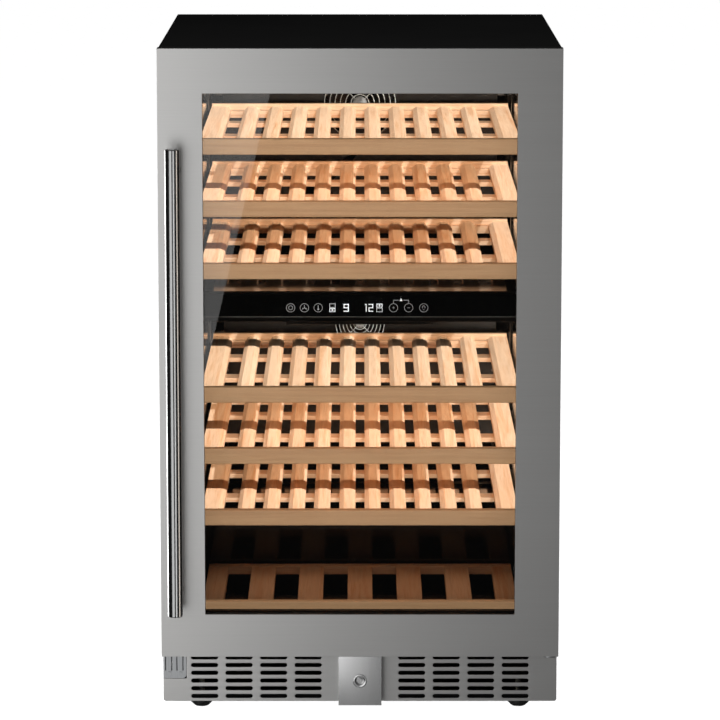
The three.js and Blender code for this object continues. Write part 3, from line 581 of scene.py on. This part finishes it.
# ---- Control panel ----
class Symbols:
    """Thin printed marks on the front of the touch panel, in the panel's own x and z."""

    def __init__(self):
        low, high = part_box("control_panel")
        self.front = low.y - 0.00004
        self.middle = (low.z + high.z) / 2 - 0.0033
        self.depth = 0.00006
        self.pieces = Pieces()

    def bar(self, x0, x1, z0, z1):
        mid = self.middle
        self.pieces.box((x0, self.front - self.depth, mid + z0), (x1, self.front, mid + z1))

    def line(self, start, end, width):
        a, b = Vector((start[0], 0, start[1])), Vector((end[0], 0, end[1]))
        side = (b - a).normalized().cross(Vector((0, 1, 0))) * width / 2
        outline = [(p.x, p.z + self.middle) for p in (a + side, b + side, b - side, a - side)]
        self.pieces.prism(outline, "y", self.front - self.depth, self.front)

    def disc(self, x, z, radius, sides=24):
        outline = [(x + radius * math.cos(t), self.middle + z + radius * math.sin(t))
                   for t in round_angles(sides)]
        self.pieces.prism(outline, "y", self.front - self.depth, self.front)

    def arc(self, x, z, radius, width, start=0.0, end=360.0, steps=40):
        whole = end - start >= 360.0
        inner, outer = radius - width / 2, radius + width / 2
        back, front = self.front, self.front - self.depth
        rings = []
        for i in range(steps if whole else steps + 1):
            angle = math.radians(start + (end - start) * i / steps)
            rings.append([(x + r * math.cos(angle), y, self.middle + z + r * math.sin(angle))
                          for r, y in ((inner, back), (outer, back), (outer, front), (inner, front))])
        self.pieces.loft(rings, closed=whole)

    def digit(self, x, segments, width=0.0078, height=0.0116, stroke=0.0014):
        """A seven-segment digit; segments is a string of a to g."""
        half, low, high = width / 2, -height / 2, height / 2
        bars = {
            "a": (-half, half, high - stroke, high), "d": (-half, half, low, low + stroke),
            "g": (-half, half, -stroke / 2, stroke / 2),
            "f": (-half, -half + stroke, 0, high), "b": (half - stroke, half, 0, high),
            "e": (-half, -half + stroke, low, 0), "c": (half - stroke, half, low, 0),
        }
        for name in segments:
            x0, x1, z0, z1 = bars[name]
            self.bar(x + x0, x + x1, z0, z1)

    def build(self, name, material):
        self.pieces.build(name, material, "cabinet", "gloss_panel")


def zone_symbol(marks, x, upper_full):
    """A small cabinet whose upper or lower zone is filled."""
    half, high, line = 0.0044, 0.0062, 0.0005
    for z0, z1, full in ((0.0004, high, upper_full), (-high, -0.0004, not upper_full)):
        if full:
            marks.bar(x - half, x - half + 2.2 * line, z0, z1)
            marks.bar(x + half - 2.2 * line, x + half, z0, z1)
            marks.bar(x - half, x + half, z0, z0 + 1.4 * line)
            marks.bar(x - half, x + half, z1 - 2 * line, z1)
            marks.bar(x - 0.0012, x + 0.0012, z0 + 0.0014, z1 - 0.001)
        else:
            for side in (-1, 1):
                marks.bar(*sorted((x + side * half, x + side * (half - line))), z0, z1)
            for z in (z0, z1 - line):
                marks.bar(x - half, x + half, z, z + line)


def control_panel():
    low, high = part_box("control_panel")
    # A thin grey strip along the bottom edge of the panel's front: a painted highlight where that edge would
    # catch the light.
    edge = Pieces()
    edge.box((low.x, low.y - 0.0001, low.z), (high.x, low.y, low.z + 0.0008))
    edge.build("panel_edge", "grey_plastic", "cabinet", "gloss_panel")
    key_symbols()
    display_symbols()


def key_symbols():
    """Six round touch keys, with a bracket over plus and minus."""
    power, fan, temperature, plus, minus, light = -0.1034, -0.0828, -0.0623, 0.0499, 0.0725, 0.0950
    thin, circle, arm = 0.0006, 0.0063, 0.0018
    bracket_top, bracket_reach = 0.0118, 0.0078
    rings = Symbols()
    for x in (power, fan, temperature, plus, minus, light):
        rings.arc(x, 0, circle, thin)
    rings.arc(power, 0, 0.0030, thin)
    blade = 0.0042
    for k in range(3):
        turn = math.radians(90 + 120 * k)
        rings.line((fan, 0), (fan + blade * math.cos(turn), blade * math.sin(turn)), thin * 1.5)
    rings.disc(temperature, -0.0022, 0.0014)
    rings.bar(temperature - 0.0005, temperature + 0.0005, -0.002, 0.0036)
    for x in (plus, minus):
        rings.bar(x - arm, x + arm, -thin / 2, thin / 2)
    rings.bar(plus - thin / 2, plus + thin / 2, -arm, arm)
    rings.arc(light, 0.0008, 0.0021, thin, -50, 230, 20)
    rings.bar(light - 0.0009, light + 0.0009, -0.0032, -0.0026)
    for x, inward in ((plus, 1), (minus, -1)):
        rings.bar(x - thin / 2, x + thin / 2, circle, bracket_top)
        rings.bar(*sorted((x, x + inward * bracket_reach)), bracket_top - 0.0008, bracket_top)
    rings.build("panel_symbols", "dim_symbol")


def display_symbols():
    """The digits 9 and 12, a cabinet symbol by each, and the pointer over the plus and minus keys."""
    bright = Symbols()
    zone_symbol(bright, -0.0411, False)
    zone_symbol(bright, 0.0290, True)
    bright.digit(-0.0206, "abcdfg")
    one, stroke, half = 0.0093, 0.0007, 0.0058
    bright.bar(one - stroke, one + stroke, -half, half)
    bright.bar(one - 3 * stroke, one - stroke + 0.0002, half - 2 * stroke, half)
    bright.digit(0.0162, "abged", 0.0070)
    tip, foot_z = (0.0612, 0.0146), 0.0102
    outline = [(tip[0] - 0.0023, foot_z), (tip[0] + 0.0023, foot_z), tip]
    bright.pieces.prism([(x, z + bright.middle) for x, z in outline], "y",
                        bright.front - bright.depth, bright.front)
    bright.build("panel_digits", "symbol")


# ---- Door ----
def door_handle():
    low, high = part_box("door_handle")
    radius = (high.x - low.x) / 2
    centre = ((low.x + high.x) / 2, low.y + radius, 0)
    lip, plug, recess = 0.0012, radius - 0.003, 0.0006
    bar = Pieces()
    bar.lathe([
        (0, low.z + recess), (plug, low.z + recess), (plug, low.z), (radius - lip, low.z),
        (radius, low.z + lip), (radius, high.z - lip), (radius - lip, high.z), (plug, high.z),
        (plug, high.z - recess), (0, high.z - recess),
    ], centre, "z", 96)
    post, inset, collar = 0.007, 0.034, 0.0022
    for z in (low.z + inset, high.z - inset):
        bar.rod((centre[0], centre[1], z), (centre[0], high.y, z), post, 40)
        bar.lathe([(0, -collar), (post * 1.5, -collar), (post * 1.6, 0), (0, 0)],
                  (centre[0], high.y, z), "y", 40)
    piece = bar.build("door_handle_tube", "handle_steel", "door", "polished_steel", smooth=35)
    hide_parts("door_handle")


def door_seal():
    """A magnetic seal: a bellows lip that runs round the inner frame."""
    low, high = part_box("door_gasket")
    width = 0.026
    front, back = low.y, high.y
    deep = back - front
    profile = [
        (0.0, front), (width * 0.35, front), (width * 0.35, front + deep * 0.2),
        (width * 0.62, front + deep * 0.12), (width * 0.9, front + deep * 0.3),
        (width, front + deep * 0.62), (width * 0.93, front + deep * 0.94), (width * 0.6, back),
        (width * 0.18, back), (0.0, front + deep * 0.9), (width * 0.05, front + deep * 0.55),
    ]
    seal = Pieces()
    seal.window(profile, high.x - width, low.z + width, high.z - width)
    piece = seal.build("door_seal", "rubber", "door", "rubber", bevel=0.0005)
    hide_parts("door_gasket")


# ---- Plinth ----
def stadium(x, z, length, height, steps=10):
    radius = height / 2
    reach = length / 2 - radius
    points = []
    for side, start in ((1, -90), (-1, 90)):
        for i in range(steps + 1):
            angle = math.radians(start + 180 * i / steps)
            points.append((x + side * reach + radius * math.cos(angle), z + radius * math.sin(angle)))
    return points


def arc_points(x, z, radius, start, end, steps=6):
    angles = (math.radians(start + (end - start) * i / steps) for i in range(steps + 1))
    return [(x + radius * math.cos(a), z + radius * math.sin(a)) for a in angles]


def pressed_sheet(name, outer, holes, front, thickness, edge, material, body, slot):
    """A flat sheet with holes whose edges are rolled, seen from the front."""
    curve = bpy.data.curves.new(name + "_outline", "CURVE")
    curve.dimensions = "2D"
    curve.fill_mode = "BOTH"
    curve.extrude = thickness / 2 - edge
    curve.bevel_depth = edge
    curve.bevel_resolution = 2
    curve.offset = -edge
    for loop in [outer, *holes]:
        spline = curve.splines.new("POLY")
        spline.points.add(len(loop) - 1)
        for point, (x, z) in zip(spline.points, loop):
            point.co = (x, z, 0, 1)
        spline.use_cyclic_u = True
    holder = placed(name + "_outline", curve)
    bpy.context.view_layer.update()
    graph = bpy.context.evaluated_depsgraph_get()
    mesh = bpy.data.meshes.new_from_object(holder.evaluated_get(graph))
    bpy.data.objects.remove(holder)
    turn = Matrix(((1, 0, 0, 0), (0, 0, 1, front + thickness / 2), (0, 1, 0, 0), (0, 0, 0, 1)))
    mesh.transform(turn)
    mesh.name = name
    outward(mesh, weld=1e-6)
    return dress(placed(name, mesh), material, body, slot, smooth=30)


def kick_plate():
    """A slotted sheet with a corner cut away for the hinge seat and a notch behind the lock's bolt."""
    low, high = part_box("kick_plate")
    seat_low, seat_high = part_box("spare_hinge_seat")
    lock_low, lock_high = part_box("lock_bolt")
    corner, seat_gap, notch_gap, notch_rim = 0.004, 0.0003, 0.002, 0.003
    seat_x, seat_z = seat_high.x + seat_gap, seat_low.z - seat_gap
    outer = arc_points(high.x - corner, low.z + corner, corner, -90, 0)
    outer += [(high.x, high.z), (seat_x, high.z), (seat_x, seat_z), (low.x, seat_z)]
    outer += arc_points(low.x + corner, low.z + corner, corner, 180, 270)
    holes = []
    for x in SLOT_COLUMNS:
        for side in (-1, 1):
            for row in range(SLOT["rows"]):
                z = SLOT["top"] - row * SLOT["pitch"]
                holes.append(stadium(side * x, z, SLOT["length"], SLOT["height"]))
    left, right = lock_low.x - notch_gap, lock_high.x + notch_gap
    bottom, top = lock_low.z - notch_gap, high.z - notch_rim
    holes.append([(left, bottom), (right, bottom), (right, top), (left, top)])
    piece = pressed_sheet("kick_plate_sheet", outer, holes, low.y, high.y - low.y, 0.0006,
                          "satin_steel", "cabinet", "satin_steel")
    flat = piece.modifiers.new("flat", "WEIGHTED_NORMAL")
    flat.weight = 100
    flat.keep_sharp = True
    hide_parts("kick_plate")


def lock_barrel():
    """A turned barrel with a bezel, a dished face, a key slot and the lever that lifts the bolt."""
    low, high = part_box("lock_cylinder")
    face, housing = low.y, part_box("lock_housing")[0].y
    axis_height = 0.056
    bezel, dish, key, slit, neck, tail = 0.0105, 0.0060, 0.0036, 0.0014, 0.0085, 0.006
    shoulder, neck_end = housing - 0.0002, housing + 0.010
    barrel = Pieces()
    barrel.lathe([
        (0, face + 0.0035), (slit, face + 0.0035), (slit, face + 0.0012), (key, face + 0.0012),
        (key, face + 0.009), (dish, face + 0.009), (dish, face + 0.0009), (dish + 0.0008, face + 0.0004),
        (bezel - 0.0016, face), (bezel - 0.0004, face + 0.0003), (bezel, face + 0.001),
        (bezel, shoulder), (neck, shoulder), (neck, neck_end), (tail, neck_end), (tail, high.y), (0, high.y),
    ], (0, 0, axis_height), "y", 64)
    lever, lever_front, lever_back, lever_reach = 0.0025, face + 0.0159, face + 0.0189, 0.011
    barrel.box((0, lever_front, axis_height - lever), (lever_reach, lever_back, axis_height + lever))
    piece = barrel.build("lock_cylinder_barrel", "polished_steel", "lock_cylinder", "polished_steel",
                         smooth=35)
    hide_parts("lock_cylinder")


def foot(node):
    """A levelling foot: ribbed rubber skirt on a threaded stud."""
    low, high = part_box(node)
    centre = ((low.x + high.x) / 2, (low.y + high.y) / 2)
    radius = (high.x - low.x) / 2
    ribs, per_rib, valley, valley_points = 16, 6, 0.955, 2
    skirt_top, collar_top, thread_start = 0.0165, 0.0188, 0.019
    profile = [(0.0, 0.0), (0.60, 0.0), (0.66, 0.0006), (0.97, 0.0055), (1.0, 0.0062), (1.0, 0.0145),
               (0.97, 0.0152), (0.85, skirt_top), (0.5, skirt_top)]
    rings = []
    for share, z in profile:
        ring = []
        for i, angle in enumerate(round_angles(ribs * per_rib)):
            wave = 1.0 if share <= 0.9 or i % per_rib < per_rib - valley_points else valley
            reach = max(radius * share * wave, 1e-5)
            x, y = centre[0] + reach * math.cos(angle), centre[1] + reach * math.sin(angle)
            ring.append((x, y, low.z + z))
        rings.append(ring)
    skirt = Pieces()
    skirt.loft(rings)
    piece = skirt.build(f"{node}_skirt", "rubber", node, "rubber", smooth=30)
    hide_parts(node)
    length, pitch, crest = high.z - low.z, 0.0015, 0.0048
    collar, root = crest * 1.5, crest * 0.88
    outline = [(0.0, skirt_top), (collar, skirt_top), (collar, collar_top), (crest * 0.9, thread_start)]
    for i in range(int((length - thread_start) / pitch)):
        z = thread_start + i * pitch
        outline += [(root, z), (crest * 0.99, z + pitch / 2)]
    outline += [(root, length), (0.0, length)]
    thread = Pieces()
    thread.lathe(outline, (centre[0], centre[1], low.z), "z", 28)
    thread.build(f"{node}_stud", "zinc_steel", node, "zinc_steel", smooth=50)


def screw(pieces, x, front, z, radius, towards=-1):
    """A pan-head screw with a cross recess, on a face towards -Y or +Y."""
    rise = radius * 0.55
    profile = [(0, 0), (radius, 0), (radius * 0.94, rise * 0.5), (radius * 0.6, rise), (radius * 0.3, rise),
               (radius * 0.22, rise * 0.35), (0, rise * 0.25)]
    pieces.lathe([(r, towards * h) for r, h in profile], (x, front, z), "y", 28)


def screws():
    duct = Pieces()
    inset, head = 0.005, 0.0028
    for zone in ZONES:
        low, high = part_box(f"{zone}_duct_cover")
        for x in (low.x + inset, high.x - inset):
            for share in (0.12, 0.5, 0.88):
                screw(duct, x, low.y, low.z + (high.z - low.z) * share, head)
    duct.build("duct_screws", "grey_plastic", "cabinet", "zinc_steel", smooth=35)
    rear = Pieces()
    low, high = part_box("rear_panel")
    inset, head, sunk = 0.012, 0.0040, 0.0018
    flush = high.y - sunk
    for x in (low.x + inset, 0.0, high.x - inset):
        for z in (low.z + inset, (low.z + high.z) / 2, high.z - inset):
            if x or z != (low.z + high.z) / 2:
                screw(rear, x, flush, z, head, 1)
    low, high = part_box("machine_cover")
    for x in (low.x + inset, 0.0, high.x - inset):
        for z in (low.z + inset, high.z - inset):
            screw(rear, x, high.y, z, head, 1)
    rear.build("rear_screws", "zinc_steel", "cabinet", "zinc_steel", smooth=35)


def power_gland():
    low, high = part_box("power_gland")
    centre = ((low.x + high.x) / 2, 0, (low.z + high.z) / 2)
    flange, bore, sleeve = (high.x - low.x) / 2, 0.0042, 0.0086
    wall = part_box("machine_cover")[1].y + 0.0003
    profile = [(bore, low.y), (sleeve, low.y), (sleeve, wall), (flange, wall), (flange, wall + 0.001),
               (flange - 0.0016, high.y), (bore + 0.001, high.y), (bore, high.y - 0.001)]
    rings = [[(centre[0] + r * math.cos(t), y, centre[2] + r * math.sin(t)) for r, y in profile]
             for t in round_angles(48)]
    gland = Pieces()
    gland.loft(rings, closed=True)
    piece = gland.build("power_gland_collar", "rubber", "cabinet", "rubber", smooth=35)
    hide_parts("power_gland")


# ---- CAD nodes that keep their shape: by material, the width of each one's rounded edges ----
KEPT = {
    "black_shell": {"outer_shell": 0.0006, "machine_cover": 0.0005, "compressor": 0.0, "base_plate": 0.0},
    "foam": {"insulation_foam": 0.0, "zone_divider": 0.0},
    "zinc_steel": {"rear_panel": 0.0004, "spare_hinge_seat": 0.0004, "upper_hinge": 0.0004,
                   "lower_hinge": 0.0004, "lock_bolt": 0.0003},
    "satin_steel": {"door_frame": 0.0006},
    "polished_steel": {"lock_housing": 0.0007},
    "black_plastic": {"door_inner_frame": 0.001, "front_frame": 0.0006, "glass_spacer": 0.0,
                      "condenser_fan_shroud": 0.0006},
    "gloss_panel": {"control_panel": 0.0004},
    "aluminium": {"condenser": 0.0},
    "tinted_glass": {"outer_glass": 0.0, "inner_glass": 0.0},
}
KEPT_IN_EACH_ZONE = {
    "gloss_liner": {"liner": 0.0},
    "black_plastic": {"duct_cover": 0.0008, "fan_motor": 0.0, "shelf_rack": 0.0004, "light": 0.0006},
    "aluminium": {"evaporator": 0.0},
}


def finish_kept_nodes():
    for material, nodes in KEPT.items():
        for node, bevel in nodes.items():
            finish_node(node, material, bevel)
    for material, parts in KEPT_IN_EACH_ZONE.items():
        for part, bevel in parts.items():
            for zone in ZONES:
                finish_node(f"{zone}_{part}", material, bevel)


def lamp_lens(zone):
    """The lit cover under a ceiling lamp's dark housing."""
    low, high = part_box(f"{zone}_light")
    inset, thickness = 0.004, 0.0001
    lens = Pieces()
    lens.box((low.x + inset, low.y + inset, low.z - thickness), (high.x - inset, high.y - inset, low.z))
    lens.build(f"{zone}_light_lens", "lamp", "cabinet", "lamp")


def build_object():
    finish_kept_nodes()
    for index in range(1, SHELF_COUNT + 1):
        shelf_deck(index)
        shelf_fascia(index)
    bottom_shelf()
    for zone, wire in zip(ZONES, (0.0006, 0.0005)):
        fan_guard(zone, wire)
    for fan, blades in (("upper", 7), ("lower", 7), ("condenser", 5)):
        fan_rotor(f"{fan}_fan_rotor", blades)
    control_panel()
    for zone in ZONES:
        lamp_lens(zone)
    door_handle()
    door_seal()
    kick_plate()
    lock_barrel()
    for place in ("front_left", "front_right", "rear_left", "rear_right"):
        foot(f"{place}_foot")
    screws()
    power_gland()


# ---- Studio ----
def add_camera():
    """The view fitted to the straight edges of the door and of the cabinet's top."""
    data = bpy.data.cameras.new("camera")
    data.lens = 196.605
    data.sensor_width = 36.0
    data.clip_end = 60.0
    camera = placed("camera", data)
    distance, height, down = 5.744, 1.50035, 9.4087
    camera.location = (0.0, DOOR_FRONT - distance, height)
    camera.rotation_euler = (math.radians(90 - down), 0.0, 0.0)
    bpy.context.scene.camera = camera


def add_floor():
    reach, thickness, gap = 14.0, 0.02, 0.0002
    slab = Pieces()
    slab.box((-reach, -reach, -thickness), (reach, reach, -gap))
    mesh = bpy.data.meshes.new("floor")
    mesh.from_pydata(slab.points, [], slab.faces)
    piece = placed("floor", mesh)
    shader = Shader("floor", Roughness=0.9)
    speck = shader.noise((30.0, 30.0, 30.0))
    shader.color(shader.ramp(speck, ((0.3, (0.90, 0.90, 0.90)), (0.7, (0.93, 0.93, 0.93)))))
    mesh.materials.append(shader.material)
    piece.visible_glossy = False
    piece.visible_shadow = False
    piece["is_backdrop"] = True
    return piece


def area_light(name, location, target, size, power, color=WHITE, only=None, but=None, **seen):
    """A rectangular light that reaches only some pieces, or all but some; seen sets its ray visibility."""
    data = bpy.data.lights.new(name, "AREA")
    data.shape = "RECTANGLE"
    data.size, data.size_y = size
    data.energy = power
    data.color = color
    light = placed(name, data)
    light.location = location
    aim = Vector(target) - Vector(location)
    light.rotation_euler = aim.to_track_quat("-Z", "Y").to_euler()
    light.visible_camera = False
    for key, value in seen.items():
        setattr(light, key, value)
    receive(light, only, but)
    return light


def linked_group(name, pieces):
    group = bpy.data.collections.new(name)
    for piece in pieces:
        group.objects.link(piece)
    return group


def receive(light, only=None, but=None):
    """Lets a light reach only some pieces, or all but some."""
    if only is None and but is None:
        return
    group = linked_group(f"{light.name}_receivers", only or but)
    light.light_linking.receiver_collection = group
    if but is not None:
        for item in group.collection_objects:
            item.light_linking.link_state = "EXCLUDE"


def add_world():
    """White where the camera looks past the cooler; dim for everything the cooler catches."""
    world = bpy.data.worlds.new("studio")
    bpy.context.scene.world = world
    world.use_nodes = True
    tree = world.node_tree
    path = tree.nodes.new("ShaderNodeLightPath")
    shade = tree.nodes["Background"]
    shade.inputs["Strength"].default_value = AMBIENT["glossy"]
    for ray, strength in (("Is Diffuse Ray", AMBIENT["diffuse"]), ("Is Camera Ray", 1.0)):
        layer = tree.nodes.new("ShaderNodeBackground")
        layer.inputs["Color"].default_value = (*WHITE, 1.0)
        layer.inputs["Strength"].default_value = strength
        mix = tree.nodes.new("ShaderNodeMixShader")
        tree.links.new(path.outputs[ray], mix.inputs["Fac"])
        tree.links.new(shade.outputs[0], mix.inputs[1])
        tree.links.new(layer.outputs["Background"], mix.inputs[2])
        shade = mix
    tree.nodes["Background"].inputs["Color"].default_value = (*WHITE, 1.0)
    tree.links.new(shade.outputs["Shader"], tree.nodes["World Output"].inputs["Surface"])


def card(name, sides, heights, radiance, only, distance=3.0):
    """A lit card that faces the door, given by its x and z ranges and its brightness."""
    width, height = sides[1] - sides[0], heights[1] - heights[0]
    centre = ((sides[0] + sides[1]) / 2, DOOR_FRONT - distance, (heights[0] + heights[1]) / 2)
    target = (centre[0], DOOR_FRONT, centre[2])
    power = radiance * width * height * math.pi
    return area_light(name, centre, target, (width, height), power, only=only)


def sunlight(name, azimuth, elevation, width, energy, color, only, blockers=None):
    """A sun to the right of straight ahead and up, in degrees. Blockers, if given, alone shade it."""
    data = bpy.data.lights.new(name, "SUN")
    data.energy = energy
    data.angle = math.radians(width)
    data.color = color
    sun = placed(name, data)
    side, up = math.radians(azimuth), math.radians(elevation)
    towards = Vector((math.sin(side) * math.cos(up), -math.cos(side) * math.cos(up), math.sin(up)))
    sun.rotation_euler = towards.to_track_quat("Z", "Y").to_euler()
    receive(sun, only=only)
    if blockers is not None:
        sun.light_linking.blocker_collection = linked_group(f"{name}_blockers", blockers)
    return sun


def coated(*materials):
    """Every mesh whose finish is one of these materials."""
    wanted = [MATERIALS[name] for name in materials]
    meshes = [o for o in bpy.data.objects if o.type == "MESH" and o.data.materials]
    return [o for o in meshes if o.data.materials[0] in wanted]


def shelf_glow(index, radiance, color):
    """Warm light over one shelf, from just under the shelf above it."""
    node = "bottom_shelf" if index > SHELF_COUNT else f"shelf_{index}_deck"
    low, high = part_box(node)
    above, middle_share, length_share = 0.062, 0.36, 0.7
    place = ((low.x + high.x) / 2, low.y + (high.y - low.y) * middle_share, high.z + above)
    size = (high.x - low.x, (high.y - low.y) * length_share)
    power = radiance * size[0] * size[1] * math.pi
    boards = [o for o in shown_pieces() if o.name.startswith(f"{node}_")]
    glow = area_light(f"shelf_{index}_glow", place, (place[0], place[1], 0.0), size, power, color,
                      only=boards, visible_glossy=False)
    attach(glow, "cabinet")


def light_shelves(slats, rails, fascias):
    """White sun on the front of each deck, up to the shadow of the board above, and orange sun behind it."""
    azimuth, elevation, width = 12.0, 22.4, 0.4
    orange, cream = (1.0, 0.74, 0.52), (1.0, 0.96, 0.9)
    shades = [*fascias, *slats, *rails]
    sunlight("low_sun", azimuth, elevation, width, 6.2, orange, slats, fascias)
    sunlight("key_sun", azimuth, elevation, width, 7.2, WHITE, slats, shades)
    sunlight("rail_low_sun", azimuth, elevation, width, 1.6, orange, rails, fascias)
    sunlight("rail_key_sun", azimuth, elevation, width, 1.7, cream, rails, shades)
    fill = area_light("fascia_fill", (-0.6, DOOR_FRONT - 2.6, 2.1), (0, DOOR_FRONT, 0.6), (2.4, 2.4), 76,
                      (1.0, 0.98, 0.93), only=fascias)
    fill.data.use_shadow = False
    for index in range(1, SHELF_COUNT + 1):
        shelf_glow(index, *SHELF_GLOW[(index - 1) % 3])
    shelf_glow(SHELF_COUNT + 1, *BOTTOM_GLOW)


def light_steel(sheet, handle, lock):
    """Cards that the bright metal mirrors; the deep ones show only in views from high up."""
    tall, deep = (-1.1, 1.9), (-5.0, -2.3)
    left, right = (-3.2, -0.30), (-0.30, 3.2)
    card("left_card", left, (-0.95, 1.9), 1.6, sheet)
    card("right_card", right, tall, 0.15, sheet)
    card("low_left_card", left, deep, 0.9, sheet)
    card("low_right_card", right, deep, 0.3, sheet)
    card("low_middle_card", (-2.0, 2.0), deep, 0.6, [*handle, *lock])
    card("handle_left_card", (-3.0, -0.62), tall, 0.85, handle)
    card("handle_right_card", (0.42, 1.6), tall, 1.0, handle)
    area_light("handle_side", (2.5, DOOR_FRONT - 0.7, 0.5), (-0.27, DOOR_FRONT, 0.5), (0.7, 3.0), 9,
               (1.0, 0.9, 0.8), only=handle)
    card("lock_card", (-0.4, -0.004), (-0.045, 0.3), 1.25, lock, 0.4)
    card("lock_fill", (-2.0, 2.0), tall, 0.24, lock)


def light_back_and_top(glass):
    zinc = coated("zinc_steel")
    aim, size = (0, 0, 0.3), (1.6, 1.6)
    for name, x in (("back_left", -2.4), ("back_right", 2.4)):
        place = (x, 2.2, 0.1)
        area_light(name, place, aim, size, 50, but=[*glass, *zinc])
        area_light(f"{name}_zinc", place, aim, size, 9, only=zinc)
    area_light("top_fill", (0, 0, 2.6), (0, 0, 1.0), (2.0, 2.0), 4, only=coated("black_shell"))


def light_fans(fans):
    for zone in ZONES:
        low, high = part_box(f"{zone}_fan_guard")
        place = (0.12, low.y - 0.2, high.z + 0.02)
        lamp = area_light(f"{zone}_fan_glow", place, (low + high) / 2, (0.1, 0.1), 1.3, only=fans)
        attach(lamp, "cabinet")


def add_lights(floor):
    handle = coated("handle_steel")
    lock = [o for o in coated("polished_steel") if o.name.startswith("lock")]
    sheet = coated("satin_steel", "zinc_steel")
    glass = coated("tinted_glass")
    fascias = coated("fascia_wood")
    decks = [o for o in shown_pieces() if o.name.endswith(("_slats", "_rails", "_rail"))]
    slats, rails = ([o for o in decks if o.name.startswith("shelf_") and o.name.endswith(ending)]
                    for ending in ("_slats", "_rails"))
    dark = coated("gloss_liner", "black_shell", "black_plastic", "gloss_panel")
    floor_sun = sunlight("floor_sun", 0.0, 90.0, 12.0, 3.45, WHITE, [floor])
    floor_sun.data.use_shadow = False
    light_shelves(slats, rails, fascias)
    light_steel(sheet, handle, lock)
    light_back_and_top(glass)
    light_fans(coated("wire", "grey_plastic"))
    unlit = [*glass, *decks, *sheet, *handle, *lock, *dark, *fascias]
    left, right = (-1.5, DOOR_FRONT - 2.0, 1.1), (2.2, DOOR_FRONT - 1.8, 1.3)
    area_light("left_softbox", left, (-0.1, DOOR_FRONT, 0.6), (1.0, 2.2), 60, but=unlit)
    area_light("right_softbox", right, (0, DOOR_FRONT, 0.5), (0.8, 2.2), 14, but=unlit)


def add_window_reflection():
    """A tall softbox, seen only as a mirror image in the door glass, to the left of a slanting edge."""
    distance, width, height, radiance = 3.0, 2.2, 4.0, 0.5
    edge_top, edge_bottom = (-0.1318, 0.9433), (-0.2069, 0.6234)
    camera = bpy.context.scene.camera.location
    reach = 1 + distance / (DOOR_FRONT - camera.y)

    def mirrored(x, z):
        return Vector((x * reach, DOOR_FRONT - distance, camera.z + (z - camera.z) * reach))

    top, bottom = mirrored(*edge_top), mirrored(*edge_bottom)
    along = (top - bottom).normalized()
    outward_left = Vector((-along.z, 0, along.x))
    centre = (top + bottom) / 2 + outward_left * width / 2
    light = area_light("window_reflection", centre, centre + Vector((0, 1, 0)), (width, height),
                       radiance * width * height * math.pi, only=coated("tinted_glass"),
                       visible_diffuse=False)
    light.matrix_world = Matrix((
        (along.z, along.x, 0, centre.x), (0, 0, -1, centre.y),
        (-along.x, along.z, 0, centre.z), (0, 0, 0, 1),
    ))


build_object()
add_camera()
add_world()
add_lights(add_floor())
add_window_reflection()
bpy.context.scene.view_settings.view_transform = "Standard"
